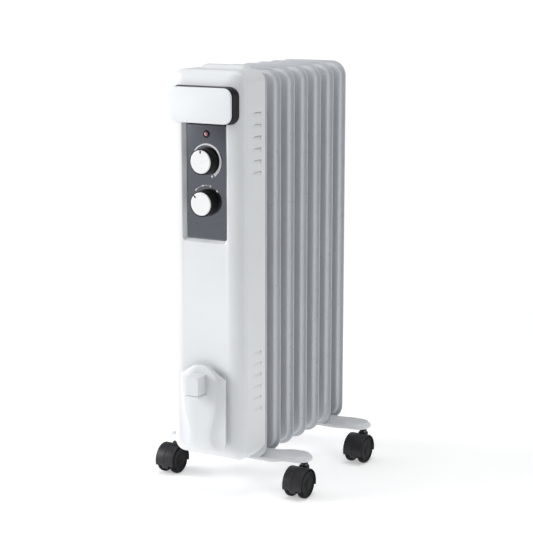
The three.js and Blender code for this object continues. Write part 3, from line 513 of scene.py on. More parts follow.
grip = Extent("handle_grip")
panel = Extent("control_panel")
FUNNEL_FLARE = 4.1  # how much wider the panel recess is at its mouth
FUNNEL_ROUND = 1.0
FUNNEL_CORNER = 3.2
FUNNEL_DEPTH = 6
OPENING_CORNER = 13


def opening_outline():
    """The hole in the front that the handle cup sits in."""
    return rounded(grip.x1 + GAP, grip.z0 - GAP, grip.z1 + GAP, OPENING_CORNER, 10)


def funnel(depth, flare):
    """One ring of the recess round the panel; its top runs on behind the handle."""
    low = panel.z0 - GAP - flare
    corner = FUNNEL_CORNER + flare * 0.75
    return along_y(rounded(panel.x1 + GAP + flare, low, grip.z0 + 4, corner, 8), depth)


def front_shell():
    """The pillow-edged front, open at the back, with the recess for the panel and the handle's hole."""
    outer = crown_rings(0, CREASE_DEPTH - 0.5)
    outer.append(along_y(shell_outline(0.5), CREASE))
    inner = crown_rings(SHELL_WALL, CREASE_DEPTH)
    inner.append(along_y(shell_outline(SHELL_WALL), CREASE + 1))
    flare = FUNNEL_FLARE + SHELL_WALL
    surround = block(-panel.x1 - flare, panel.x1 + flare, FRONT + 1, panel.y1 + 0.6,
                     panel.z0 - flare, grip.z1 - 5)
    lip = fillet(FUNNEL_ROUND, 4)
    rim = [funnel(FRONT - 1, FUNNEL_FLARE + FUNNEL_ROUND + 0.2)]
    for inset, rise in reversed(lip):
        depth = FUNNEL_ROUND - rise
        rim.append(funnel(FRONT + depth, FUNNEL_FLARE * (1 - depth / FUNNEL_DEPTH) + inset))
    recess = skin([*rim, funnel(panel.y0, 0), funnel(panel.y1 + 2, 0)])
    handle_hole = prism(opening_outline(), along_y, FRONT - 1, CREASE + 1)
    shell = piece("housing_front", [skin(outer)], WHITE, node="front_shell",
                  cutters=[skin(inner)])
    carve(shell, [surround], "UNION")
    carve(shell, [handle_hole, recess])
    mark_edges(shell.data, 32)


front_shell()

VENT_ROWS = 6
VENT_PITCH = 16.8
VENT_TOPS = (562.4, 217.5)  # heights of the first louvre of each group
VENT_FRONT = 25.6
VENT_REAR = 53.6
VENT_HEIGHT = 7.4
VENT_SECTIONS = (  # (depth, how far in the scoop reaches, margin above and below)
    (VENT_FRONT, 0.2, 0.6), (VENT_FRONT + 8, 1.3, 0.3), (VENT_REAR, 2.2, 0.0),
)
SLIT_START = 10
SLIT_HEIGHT = 1.0


def louvre(side, z):
    """A shallow scoop in the side wall that runs in to a slit at its upper rear corner."""
    skin_x = side * (HALF + 1)
    rings = []
    for depth, reach, margin in VENT_SECTIONS:
        floor_x = side * (HALF - reach)
        bottom = z - VENT_HEIGHT / 2 + margin
        top = z + VENT_HEIGHT / 2 - margin
        outline = [(skin_x, bottom - 0.6), (skin_x, top + 0.1), (floor_x, top), (side * HALF, bottom)]
        rings.append(along_y(outline, FRONT + depth))
    return skin(rings)


def slit(side, z):
    """The opening along the top of a louvre."""
    x0, x1 = sorted((side * (HALF - SHELL_WALL - 1), side * HALF))
    top = z + VENT_HEIGHT / 2 - 0.1
    start = FRONT + VENT_FRONT + SLIT_START
    return block(x0, x1, start, FRONT + VENT_REAR - 0.3, top - SLIT_HEIGHT, top)


PAD_FRONT = 43.5  # depth at which the pad begins
PAD_RAMP = 10  # length of its front slope
PAD_HALF_BASE = 38
PAD_SIDE_SLOPE = 4.5
PAD_CORNER = 5
PAD_REAR_CORNER = 0.6
PAD_LEVELS = (  # (rise, share of the slopes that is behind)
    (-1.5, -0.04), (0.0, 0.0), (0.5, 0.12), (1.8, 0.36), (3.2, 0.62), (4.3, 0.84), (4.8, 0.98), (5.0, 1.2),
)
RING_RADIUS = 4.6
RING_DEPTH = 0.4
RING_PLACE = 59.2


def top_pad():
    """The raised pad on top: a long slope at the front, short ones at the sides."""
    rings = []
    for rise, share in PAD_LEVELS:
        half = PAD_HALF_BASE - PAD_SIDE_SLOPE * share
        start = FRONT + PAD_FRONT + PAD_RAMP * share
        outline = box_outline(half, start, side_shell.y1, PAD_CORNER, PAD_REAR_CORNER, 6)
        rings.append(along_z(outline, front.z1 + rise))
    return skin(rings)


def ring_mark():
    """A round groove, the plain stand-in for a moulded sign on the pad."""
    z = side_shell.z1
    low = z - RING_DEPTH
    inside, outside = RING_RADIUS - 0.5, RING_RADIUS + 0.5
    profile = ((inside, low), (outside, low), (outside + 0.3, z + 1), (inside - 0.3, z + 1))
    return turned(profile, along_z, 0, FRONT + RING_PLACE, 64, closed=True)


UNDERCUT_START = 31.2
UNDERCUT_RISE = 12.5


def slope_under():
    """What is cut away below, so that the housing rises towards the fins."""
    rear = side_shell.y1 + 1
    below = front.z0 - 1
    outline = [(FRONT + UNDERCUT_START, below), (rear, below), (rear, front.z0 + UNDERCUT_RISE)]
    return prism(outline, along_x, -HALF - 2, HALF + 2)


def side_wall():
    """The sleeve behind the front shell: sides, top and underside in one, with pad and louvres."""
    start = side_shell.y0
    rear = side_shell.y1
    rings = [along_y(shell_outline(0.5), start), along_y(shell_outline(0.0), start + 0.5)]
    rings += [along_y(shell_outline(0.0), rear - 1.2), along_y(shell_outline(0.35), rear - 0.35)]
    rings.append(along_y(shell_outline(1.2), rear))
    inner = prism(shell_outline(SHELL_WALL), along_y, start - 1, rear + 1)
    gland = Extent("cord_gland")
    gland_hole = turned([(7.0, front.z0 - 1), (7.0, front.z0 + 5)], along_z, gland.cx, gland.cy, 32)
    cutters = [inner, slope_under(), gland_hole, ring_mark()]
    for _, side in SIDES:
        for top in VENT_TOPS:
            for row in range(VENT_ROWS):
                z = top - row * VENT_PITCH
                cutters += [louvre(side, z), slit(side, z)]
    piece("housing_side", [skin(rings)], WHITE, node="side_shell", sharp=25,
          joins=[top_pad()], cutters=cutters)


side_wall()


# ---- control panel ----
PRINT_THICK = 0.12  # to each side of the panel's face


def flat_arc(middle, width_at, start, stop, cz, steps=48):
    """A printed arc on the panel; angles run clockwise from twelve o'clock, in degrees."""
    outer, inner = [], []
    for step in range(steps + 1):
        angle = math.radians(start + (stop - start) * step / steps)
        for points, offset in ((outer, 0.5), (inner, -0.5)):
            radius = middle + offset * width_at(step / steps)
            points.append((radius * math.sin(angle), cz + radius * math.cos(angle)))
    outline = outer + inner[::-1]
    return prism(outline, along_y, panel.y0 - PRINT_THICK, panel.y0 + PRINT_THICK)


PANEL_CORNER = 3.4


def panel_outline(inset):
    return rounded(panel.x1 - inset, panel.z0 + inset, panel.z1 - inset, PANEL_CORNER, 8)


def control_panel():
    piece("panel_plate", [soft_slab(panel_outline, panel.y0, panel.y1, 0.5)], PANEL,
          node="control_panel")


control_panel()

lamp = Extent("lamp_bezel")
thermostat = Extent("thermostat_knob")
selector = Extent("selector_knob")
PRINT_RADIUS = 23.5
PRINT_SPAN = (-58, 148)
PRINT_WIDTH = 1.7
PRINT_GROWTH = 2.2
DOT_ANGLE = math.radians(157)
DOT_RADIUS = 1.5
MARK_RADIUS = 24.8
MARKS = ((-45, 1.5, 5), (-15, 2.2, 2.5), (15, 2.2, 2.5), (45, 1.4, 4))  # (angle, width, half length) of each
LINE_WIDTH = 0.5
LINES = ((-38, -19), (-10, 10))  # thin lines between the marks, in degrees


def thermostat_print():
    """An arc that grows towards the warm end, and a dot after it."""
    growing = flat_arc(PRINT_RADIUS, lambda share: PRINT_WIDTH + PRINT_GROWTH * share,
                       *PRINT_SPAN, thermostat.cz)
    dot_x = PRINT_RADIUS * math.sin(DOT_ANGLE)
    dot_z = thermostat.cz + PRINT_RADIUS * math.cos(DOT_ANGLE)
    ends = [(DOT_RADIUS, panel.y0 - PRINT_THICK), (DOT_RADIUS, panel.y0 + PRINT_THICK)]
    return [growing, turned(ends, along_y, dot_x, dot_z, 24)]


def selector_print():
    """A plain dash for each position, with thin lines between."""
    prints = []
    for angle, width, reach in MARKS:
        start, stop = angle - reach, angle + reach
        prints.append(flat_arc(MARK_RADIUS, lambda _, width=width: width, start, stop, selector.cz, steps=8))
    for start, stop in LINES:
        prints.append(flat_arc(MARK_RADIUS, lambda _: LINE_WIDTH, start, stop, selector.cz, steps=12))
    return prints


piece("panel_print", thermostat_print() + selector_print(), INK)


LENS_RADIUS = 3.3
LAMP_BORE = 3.4
LAMP_REACH = 6  # how far both run in behind the panel's face


def lamp_parts():
    """The black ring and, inside it, the red dome."""
    y = panel.y0
    radius = lamp.x1
    back = y + LAMP_REACH
    ring = (
        (LAMP_BORE, back), (LAMP_BORE, y - 0.9), (3.6, y - 1.3), (4.2, y - 1.4), (radius - 0.5, y - 1.2),
        (radius, y - 0.7), (radius, y), (radius - 1.2, y), (radius - 1.2, back),
    )
    piece("lamp_ring", [turned(ring, along_y, 0, lamp.cz, 64, closed=True)], BLACK,
          node="lamp_bezel")
    dome = (
        (0, y - 2.2), (1.0, y - 2.12), (1.9, y - 1.85), (2.7, y - 1.4), (3.15, y - 0.8), (LENS_RADIUS, y),
        (LENS_RADIUS, back), (0, back),
    )
    piece("lamp_dome", [turned(dome, along_y, 0, lamp.cz, 48)], LENS,
          node="lamp_lens")


lamp_parts()


DIAL_BORE_END = -3.4  # depth at which the shaft's hole in the knob ends
CAP_MARGIN = 0.6  # the cap's disc is this much smaller than its space
SLOT = (1.3, 11.6, 17.2, 1.0)  # half width, inner and outer end and corner of the slot in a cap
POINTER = (1.15, 11.8, 15.9, 0.9)  # the same for the black line in it


def dial_body(label, body, knob, cap):
    """The black knob, with a seat for the cap in its face."""
    rim = cap.x1 - CAP_MARGIN + GAP
    face = knob.y0
    base = knob.x1
    top = base - 0.9
    seat = cap.y1 + GAP
    back = knob.y1
    bore_end = FRONT + DIAL_BORE_END
    profile = (
        (0, seat), (rim, seat), (rim, face + 0.25), (rim + 0.25, face), (top - 0.7, face),
        (top - 0.2, face + 0.25), (top, face + 0.8), (top + 0.1, face + 3), (base - 0.35, back - 2.6),
        (base, back - 1.2), (base, back - 0.3), (base - 0.3, back),
        (4, back), (3.4, back - 1), (3.3, bore_end), (0, bore_end),
    )
    piece(f"{label}_dial", [turned(profile, along_y, 0, knob.cz, 96)], BLACK, body,
          node=f"{label}_knob")


def tilted_slot(size, tilt, cz, front_y, back_y):
    """A short rounded bar that points from the middle of a dial towards the tilt, in degrees."""
    turn = math.radians(-tilt)
    cos, sin = math.cos(turn), math.sin(turn)
    placed = [(x * cos - z * sin, x * sin + z * cos + cz) for x, z in rounded(*size, 6)]
    return prism(placed, along_y, front_y, back_y)


def dial(label, body, tilt):
    """A black knob, its dished white cap and the black line sunk into that."""
    knob = Extent(f"{label}_knob")
    cap = Extent(f"{label}_knob_cap")
    dial_body(label, body, knob, cap)
    radius = cap.x1 - CAP_MARGIN
    face = cap.y0
    disc = (
        (0, face + 0.22), (radius * 0.5, face + 0.16), (radius - 1.9, face), (radius - 1.0, face + 0.08),
        (radius - 0.35, face + 0.4), (radius, face + 1.0), (radius, cap.y1), (0, cap.y1),
    )
    piece(f"{label}_dial_cap", [turned(disc, along_y, 0, cap.cz, 96)], CAP, body,
          node=f"{label}_knob_cap",
          cutters=[tilted_slot(SLOT, tilt, knob.cz, face - 1, face + 0.9)])
    piece(f"{label}_pointer", [tilted_slot(POINTER, tilt, knob.cz, face + 0.3, face + 1.2)], BLACK, body)


dial("thermostat", "thermostat_dial", 0)
dial("selector", "selector_dial", -45)


# ---- handle ----
plate = Extent("handle_plate")
PLATE_CORNER = 12.2
PLATE_ROUND = 1.3
GRIP_CORNER = 13.2
POCKET_SIDE = 8  # wall of the cup beside the pocket, and above it
POCKET_CORNER = 7
POCKET_FRONT = 3  # wall of the cup behind the cover


def plate_outline(inset):
    return rounded(plate.x1 - inset, plate.z0 + inset, plate.z1 - inset, PLATE_CORNER - inset * 0.6, 12)


def grip_outline(inset):
    rise = inset * 0.5
    return rounded(grip.x1 - inset, grip.z0 + rise, grip.z1 - rise, GRIP_CORNER - inset * 0.4, 12)


def pocket_ring(depth, grow):
    top = grip.z1 - POCKET_SIDE + grow
    return along_y(rounded(grip.x1 - POCKET_SIDE + grow, grip.z0 + 3, top, POCKET_CORNER, 8), depth)


def handle_cover():
    piece("handle_cover", [soft_slab(plate_outline, plate.y0, plate.y1, PLATE_ROUND, 5)], PLATE,
          node="handle_plate")


def handle_cup():
    """The black cup, drafted towards the front, with a finger pocket that opens downwards."""
    near, far = grip.y0, grip.y1
    draft = ((3.0, near), (2.2, near + 0.3), (1.8, near + 1.1), (0, FRONT + 0.5), (0, far - 1.2), (1.2, far))
    body = skin([along_y(grip_outline(inset), depth) for inset, depth in draft])
    start = near + POCKET_FRONT
    pocket = skin([pocket_ring(start, -1.5), pocket_ring(start + 2, 0), pocket_ring(far - 6, 0),
                   pocket_ring(far - 4, -2)])
    mouth_half = grip.x1 - POCKET_SIDE - 1.5
    mouth = block(-mouth_half, mouth_half, start, panel.y0, grip.z0 - 1, grip.z0 + 6)
    piece("handle_cup", [body], BLACK, node="handle_grip", cutters=[pocket, mouth])


handle_cover()
handle_cup()


# ---- cord holder ----
holder = Extent("cord_holder")
HOLDER_ROWS = (  # (height, half width of the flange, half width of the raised face, reach of the face)
    (0, 29, 20, 12.0), (1.2, 31.5, 22, 13.2), (4, 37.4, 21.6, 15.0), (9, 39.8, 19.6, 16.2),  # foot
    (15, 40, 17.8, 16.8), (21, 40, 16.8, 17), (27, 40, 17.6, 17), (36, 40, 20.0, 17),  # waist of the face
    (48, 40, 23.4, 17), (61, 40, 26.4, 17), (78, 40, 27.8, 17), (95, 40, 28.7, 17), (105, 40, 29, 17),
    (107, 38.6, 28.8, 16.8), (110, 33.2, 27.2, 16.3), (113.5, 26.4, 23.6, 15.5),  # shoulder
    (117, 21.4, 18.8, 14.6), (120.5, 16.6, 14, 13.6), (122.8, 11, 8, 12.6), (123.7, 5, 2.4, 11.8),
)
HOLDER_BACK = 9.0  # how far the back of the flange stands out from the housing
HOLDER_LIP = 11.2
FACET_CURVE = ((0.2, 0.08), (0.4, 0.22), (0.6, 0.42), (0.8, 0.68))  # (share across, share outwards)
WAIST_HALF = 24
WAIST_LOW = 27
WAIST_HIGH = 95
WAIST_CORNER = 12


def holder_section(flange, ridge, depth):
    """Half of a level cut, from the back of the flange round to the middle of the face."""
    edge, level = flange - 1.2, HOLDER_LIP + 0.1
    half = [(flange * 0.985, HOLDER_BACK - 0.2), (flange, HOLDER_BACK + 0.1), (flange, HOLDER_LIP - 0.4),
            (flange - 0.35, HOLDER_LIP), (edge, level)]
    for across, outward in FACET_CURVE:
        half.append((edge + (ridge + 0.4 - edge) * across, level + (depth - 0.3 - level) * outward))
    half += [(ridge + 0.4, depth - 0.3), (ridge - 0.4, depth), (ridge * 0.5, depth)]
    return half


def waist_ring(depth, grow=0.0):
    low, high = holder.z0 + WAIST_LOW - grow, holder.z0 + WAIST_HIGH + grow
    return along_y(rounded(WAIST_HALF + grow, low, high, WAIST_CORNER, 8), FRONT - depth)


def cord_holder():
    """The shield-shaped face and the waist behind it that the cord is wound round."""
    rings = []
    for height, flange, ridge, depth in HOLDER_ROWS:
        half = holder_section(flange, ridge, depth)
        outline = half + [(-x, out) for x, out in reversed(half)]
        rings.append([(x, FRONT - out, holder.z0 + height) for x, out in outline])
    waist = skin([waist_ring(10), waist_ring(5, -0.6), waist_ring(GAP)])
    piece("cord_holder_body", [skin(rings), waist], HOLDER_WHITE_PAINTED_SHADE,
          node="cord_holder", sharp=40)


HOOK_HALF = 11.2
HOOK_LOW = 84.5
HOOK_HIGH = 112.5
HOOK_ROOT = 15.5  # it grows out of the holder's face at this reach
HOOK_WALL = 2.6
LIP_LOW = 80.5
LIP_GROOVE = 1.2  # height of the groove between the hook and its lip, and its depth


def hook_rings(nose, root):
    """The box, a little smaller and lower towards its nose."""
    low, high = holder.z0 + HOOK_LOW, holder.z0 + HOOK_HIGH
    sections = ((root, 0.0, 0.0), (nose + 2.4, 0.3, 1.6), (nose + 1.0, 0.5, 2.2), (nose + 0.5, 1.0, 2.8),
                (nose + 0.4, 1.8, 3.6))
    return [along_y(rounded(HOOK_HALF - inset, low, high - drop, 2.0, 6), y) for y, inset, drop in sections]


def lip_rings(nose, root):
    """The lip round the hook's mouth."""
    low, high = holder.z0 + LIP_LOW, holder.z0 + HOOK_LOW - LIP_GROOVE
    rings = []
    for y, inset in ((root, 0.0), (nose + 0.8, 0.0), (nose + 0.2, 0.3), (nose, 0.9)):
        rings.append(along_y(rounded(HOOK_HALF - inset, low + inset, high - inset * 0.5, 0.7, 4), y))
    return rings


def cord_hook():
    """A small box under which the plug end of the cord is pushed up, with a lip round its mouth."""
    nose = holder.y0
    root = FRONT - HOOK_ROOT
    low, high = holder.z0 + HOOK_LOW, holder.z0 + HOOK_HIGH
    neck_half = HOOK_HALF - LIP_GROOVE
    neck_part = block(-neck_half, neck_half, nose + 1.6, root, low - LIP_GROOVE - 1, low + 2)
    half = HOOK_HALF - HOOK_WALL
    pocket = block(-half, half, nose + 2.8, root - 1.5, holder.z0 + LIP_LOW - 2, high - 4)
    piece("cord_hook", [skin(hook_rings(nose, root))], HOLDER_WHITE_PAINTED_SHADE, sharp=32,
          joins=[neck_part, skin(lip_rings(nose, root))], cutters=[pocket])


cord_holder()
cord_hook()


GLAND_BORE = 3.6
GLAND_NECK = 6.6
GLAND_SHORTER = 2.2  # the flange shows less below the housing than its space allows


def cord_gland():
    """The bush in the underside that the cord enters through."""
    gland = Extent("cord_gland")
    radius = gland.x1 - gland.cx
    low = gland.z0 + GLAND_SHORTER
    flange_top = low + 2.4
    profile = (
        (GLAND_BORE, low + 0.8), (4.2, low), (radius - 2.2, low), (radius - 0.9, low + 0.4),
        (radius, low + 1.2), (radius, flange_top), (GLAND_NECK, flange_top), (GLAND_NECK, gland.z1),
        (GLAND_BORE, gland.z1),
    )
    piece("cord_entry_gland", [turned(profile, along_z, gland.cx, gland.cy, 48, closed=True)], BLACK,
          node="cord_gland")


cord_gland()

# ---- feet ----
FOOT_LEVELS = (  # (height above the lower edge, inset between the fins, inset at the ends)
    (0.0, 0.0, 0.0), (4.2, 0.0, 0.0), (5.4, 0.8, 0.3), (6.4, 2.8, 1.0), (7.6, 5.4, 2.0), (9.2, 8.4, 3.0),
    (10.8, 10.4, 3.8), (12.2, 11.8, 4.8), (13.1, 12.8, 6.4), (13.5, 14.0, 9.0),
)
FOOT_STRIP = 18.2  # half width between the fins
FOOT_LOBE = 20.5  # half width at the ends
FOOT_LEAN = 4.0  # the ends lie this much nearer the middle of the heater
FOOT_RISE = 4.8  # the lower edge is this much higher at the ends
SOCKET_BORE = 4.9  # of the socket and the hood's boss round a caster's stem
RISE_START = 62
RISE_LENGTH = 38
FOOT_SHEET = 1.6
BLEND_START = 92  # from here inwards an end narrows to the strip
BLEND_LENGTH = 28


def eased(share):
    """Runs from 0 to 1 with a soft start and end."""
    share = min(max(share, 0.0), 1.0)
    return share * share * (3 - 2 * share)


def foot_plan(box, middle, end, strip_inset, lobe_inset):
    """Outline of a foot seen from above: a strip with a broader rounded lobe at each end."""
    lean = -end * FOOT_LEAN
    strip = FOOT_STRIP - strip_inset
    lobe = FOOT_LOBE - lobe_inset
    tip = box.x1 - lobe_inset
    upper, lower = [], []
    for step in range(9):
        mix = eased(step / 8)
        x = BLEND_START - BLEND_LENGTH * step / 8
        upper.append((x, (lean + lobe) * (1 - mix) + strip * mix))
        lower.append((x, (lean - lobe) * (1 - mix) - strip * mix))
    reach = lobe * 0.95
    rounded_end = arc(tip - reach, lean, reach, lobe, -90, 90, 14)
    right = lower[::-1] + rounded_end + upper
    left = [(-x, y) for x, y in reversed(right)]
    return [(x, y + middle) for x, y in right + left]


def foot_ring(box, middle, end, rise, strip_inset, lobe_inset):
    """One level of a foot; low levels are lifted towards the ends."""
    ring = []
    for x, y in foot_plan(box, middle, end, strip_inset, lobe_inset):
        lift = FOOT_RISE * eased((abs(x) - RISE_START) / RISE_LENGTH) * (1 - rise / FOOT_LEVELS[-1][0])
        ring.append((x, y, box.z0 + rise + lift))
    return ring


def foot_shell(end_name, end):
    """The pressed channel: outside and inside skins joined round the lower edge."""
    box = Extent(f"{end_name}_foot")
    middle = Extent(f"{end_name}_foot_clamp").cy
    rings = [foot_ring(box, middle, end, *level) for level in reversed(FOOT_LEVELS)]
    for rise, strip_inset, lobe_inset in FOOT_LEVELS:
        low = max(rise - FOOT_SHEET, 0.0)
        inner = (strip_inset + FOOT_SHEET, lobe_inset + FOOT_SHEET)
        rings.append(foot_ring(box, middle, end, low, *inner))
    parts = [skin(rings)]
    low = box.z0 + FOOT_RISE
    high = box.z1 - FOOT_SHEET + 0.4
    socket = (
        (SOCKET_BORE, high), (SOCKET_BORE, low + 0.6), (5.6, low + 0.1), (7.0, low + 0.1),
        (7.4, low + 1), (7.4, high),
    )
    for side_name, _ in SIDES:
        stem = Extent(f"caster_stem_{end_name}_{side_name}")
        parts.append(turned(socket, along_z, stem.cx, stem.cy, 36, closed=True))
    piece(f"{end_name}_foot_rail", parts, FOOT_PAINT,
          node=f"{end_name}_foot", sharp=40)


CLAMP_STRAIGHT = 20
THREADS = 11
THREAD_PITCH = 0.8


def clamp_route(box, rod):
    """Points (x, z) up one leg of the U-bolt, over the gallery and down the other."""
    reach = box.x1 - rod
    centre_z = box.z1 - rod - reach
    low, straight = box.z0 + 0.4, centre_z - CLAMP_STRAIGHT
    over = arc(0, centre_z, reach, reach, 180, 0, 24)
    return [(-reach, low), (-reach, straight), *over, (reach, straight), (reach, low)]


def swept_rod(route, rod, y):
    """A round rod along a route in the plane at this depth."""
    rings = []
    for index, (x, z) in enumerate(route):
        before = route[max(index - 1, 0)]
        after = route[min(index + 1, len(route) - 1)]
        run = Vector((after[0] - before[0], 0, after[1] - before[1])).normalized()
        across = Vector((run.z, 0, -run.x))
        rings.append([(x + across.x * u, y + v, z + across.z * u) for u, v in circle(rod, 14)])
    return skin(rings)


def clamp(end_name):
    """A U-bolt over the lower gallery, threaded at both ends."""
    box = Extent(f"{end_name}_foot_clamp")
    rod = (box.y1 - box.y0) / 2
    profile = [(rod - 0.35, box.z0 + 0.4)]
    for turn in range(THREADS):
        height = box.z0 + 0.6 + turn * THREAD_PITCH
        profile += [(rod - 0.3, height), (rod, height + THREAD_PITCH / 2)]
    profile.append((rod - 0.3, height + THREAD_PITCH))
    parts = [swept_rod(clamp_route(box, rod), rod, box.cy)]
    for _, side in SIDES:
        parts.append(turned(profile, along_z, side * (box.x1 - rod), box.cy, 20))
    piece(f"{end_name}_clamp_rod", parts, STEEL, node=f"{end_name}_foot_clamp")


NUT_BORE = 2.5
WING_MIDDLE = 6.4
WING_WIDTH = 3.4  # half of the rounded end
WING_HEIGHT = 2.1


def wing_nut(end_name, side_name):
    node = f"{end_name}_wing_nut_{side_name}"
    box = Extent(node)
    low, high = box.z0, box.z1
    hub = ((NUT_BORE, high), (4.6, high), (5.0, high - 0.4), (4.4, low + 0.4), (4.0, low), (NUT_BORE, low))
    parts = [turned(hub, along_z, box.cx, box.cy, 32, closed=True)]
    for _, side in SIDES:
        outline = arc(box.cx + side * WING_MIDDLE, low + 2.2, side * WING_WIDTH, WING_HEIGHT, -90, 90, 12)
        outline += [(box.cx + side * 3.6, high - 0.6), (box.cx + side * 3.6, low + 0.4)]
        parts.append(prism(outline, along_y, box.cy - 1.1, box.cy + 1.1))
    piece(f"{end_name}_{side_name}_wing_nut", parts, STEEL, node=node)


for end_name, end in ENDS:
    foot_shell(end_name, end)
    clamp(end_name)
    for side_name, _ in SIDES:
        wing_nut(end_name, side_name)


# ---- casters ----
HOOD_WALL = 1.6
HOOD_ROUND = 1.4
HOOD_SWEEP = (-15, 195)  # degrees, from the rear round to the front
WEB_HALF = 5.3
WEB_DROP = 11  # how far the web between the wheels reaches below the axle
STEM_RADIUS = 4.4
COLLAR_RADIUS = 5.6


def fender(cx, cy, cz, outer, inner, half):
    """The hood's arched band; its section is swept round the axle."""
    section = [(inner, -half + 0.3), (inner, half - 0.3), (inner + 0.4, half), (outer - HOOD_ROUND, half)]
    for angle in (0.4, 0.8, 1.2, math.pi / 2):
        drop, inset = HOOD_ROUND * (1 - math.sin(angle)), HOOD_ROUND * (1 - math.cos(angle))
        section.append((outer - drop, half - inset))
    seam = [(outer, 0.9), (outer - 0.5, 0.5), (outer - 0.5, -0.1), (outer, -0.5)]
    section += seam + [(r, -x) for r, x in reversed(section[3:])] + [(inner + 0.4, -half)]
    start, stop = HOOD_SWEEP
    rings = []
    for step in range(57):
        angle = math.radians(start + (stop - start) * step / 56)
        rings.append([(cx + x, cy + r * math.cos(angle), cz + r * math.sin(angle)) for r, x in section])
    return skin(rings)


def caster_web(cx, cy, cz, radius, half):
    """The solid middle of the hood, between the wheels."""
    drop = math.degrees(math.asin(WEB_DROP / radius))
    outline = arc(cy, cz, radius, radius, -drop, 180 + drop, 48)
    return prism(outline, along_x, cx - half, cx + half)


def caster_hood(label, body, stem, wheel):
    hood = Extent(f"caster_hood_{label}")
    cx, cy, cz = stem.cx, wheel.cy, wheel.cz
    top = hood.z1
    inner = top - cz - HOOD_WALL
    boss = (
        (SOCKET_BORE, cz + 9), (SOCKET_BORE, top - 0.9), (5.5, top - 0.2), (6.6, top - 0.2), (7.4, top - 0.9),
        (7.7, top - 2.2), (7.7, cz + 9),
    )
    parts = [
        fender(cx, cy, cz, top - cz, inner, hood.x1 - hood.cx),
        caster_web(cx, cy, cz, inner + 0.5, WEB_HALF),
        turned(boss, along_z, stem.cx, stem.cy, 40, closed=True),
    ]
    piece(f"caster_{label}_hood", parts, HOOD_PAINTED_LIGHT, body,
          node=f"caster_hood_{label}", sharp=38)


def caster_stem(label, stem):
    """The steel stem and the black collar round it, just below the foot."""
    top = stem.z1 - 6.7
    low = top - 5.4
    post = (
        (0, stem.z0), (3.6, stem.z0), (STEM_RADIUS, stem.z0 + 0.8), (STEM_RADIUS, low), (5.0, low + 0.1),
        (5.0, top - 0.9), (STEM_RADIUS, top), (STEM_RADIUS, stem.z1 - 0.8), (3.6, stem.z1), (0, stem.z1),
    )
    piece(f"caster_{label}_stem", [turned(post, along_z, stem.cx, stem.cy, 40)], STEEL,
          node=f"caster_stem_{label}")
    sleeve = (
        (5.05, low + 0.2), (5.4, low), (COLLAR_RADIUS, low + 0.4), (COLLAR_RADIUS, top - 2.4),
        (5.3, top - 2.0), (5.05, top - 2.0),
    )
    piece(f"caster_{label}_collar", [turned(sleeve, along_z, stem.cx, stem.cy, 40, closed=True)], HOOD_PAINTED_LIGHT)


def caster_axle(label, body, pin, cy, cz):
    rod = (pin.z1 - pin.z0) / 2
    left, right = pin.x0, pin.x1
    axle = (
        (0, left), (rod - 0.4, left), (rod, left + 0.4), (rod, right - 0.4), (rod - 0.4, right), (0, right),
    )
    piece(f"caster_{label}_axle", [turned(axle, along_x, cy, cz, 24)], STEEL, body,
          node=f"caster_axle_{label}")


def caster_wheel(label, side_name, side, cx, cy, radius, bore):
    """One of the two wheels; the profile runs from the bore up the inner face and down the outer one."""
    tread = Extent(f"caster_wheel_{label}_{side_name}")
    near, far = sorted((abs(tread.x0 - cx), abs(tread.x1 - cx)))
    profile = (
        (bore, near), (radius - 3.6, near), (radius - 1.6, near + 0.5), (radius - 0.5, near + 1.5),
        (radius, near + 3.0), (radius, far - 3.0), (radius - 0.5, far - 1.5), (radius - 1.5, far - 0.5),
        (radius - 2.6, far), (radius - 3.8, far), (radius - 4.2, far - 0.7), (radius - 4.8, far - 0.9),
        (7.0, far - 0.5), (6.4, far - 0.1), (4.0, far), (0, far), (0, far - 2.2), (bore, far - 2.2),
        (bore, near),
    )
    placed = [(r, cx + side * x) for r, x in profile]
    piece(f"caster_{label}_wheel_{side_name}", [turned(placed, along_x, cy, radius, 80)], WHEEL_PAINTED_SHADE,
          f"wheel_{label}_{side_name}", node=f"caster_wheel_{label}_{side_name}")


def caster(label):
    body = f"caster_{label}"
    wheel = Extent(f"caster_wheel_{label}_left")
    stem = Extent(f"caster_stem_{label}")
    pin = Extent(f"caster_axle_{label}")
    caster_hood(label, body, stem, wheel)
    caster_stem(label, stem)
    caster_axle(label, body, pin, wheel.cy, wheel.cz)
    bore = (pin.z1 - pin.z0) / 2 + GAP
    for side_name, side in SIDES:
        caster_wheel(label, side_name, side, stem.cx, wheel.cy, wheel.cz, bore)


for end_name, _ in ENDS:
    for side_name, _ in SIDES:
        caster(f"{end_name}_{side_name}")

# ---- pieces inside the housing, carried over from the frame ----
CARRIED = {
    "oil_fill_plug": BRASS,
    "heating_element": STEEL,
    "heat_shield": SHEET,
    "thermostat": SHEET,
    "thermostat_shaft": STEEL,
    "selector_switch": BLACK,
    "selector_shaft": STEEL,
    "tip_over_switch": BLACK,
    "thermal_cutout": SHEET,
    "terminal_block": INNER_WHITE,
}
for node, material in CARRIED.items():
    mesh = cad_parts[node].data
    mesh.materials.clear()
    mesh.materials.append(material)


# ---- stage, light and camera ----
WORLD_LIGHT = 0.24
SURROUND = 1.05  # brightness of the background for the eye
FLOOR_GLOW = 0.4
LOW_SKY = 0.6  # what shiny parts reflect from beyond the floor
FLOOR_RADIUS = 1.3
LIGHT_AIM = Vector((0, 0, 0.33))
SOFT_BOXES = {  # name: (azimuth, elevation, distance, width, height, power)
    "key": (-58, 18, 3.2, 1.8, 2.2, 83),
    "side": (110, 12, 3.0, 2.0, 2.2, 17),
    "top": (20, 85, 2.6, 2.0, 2.0, 35),
}


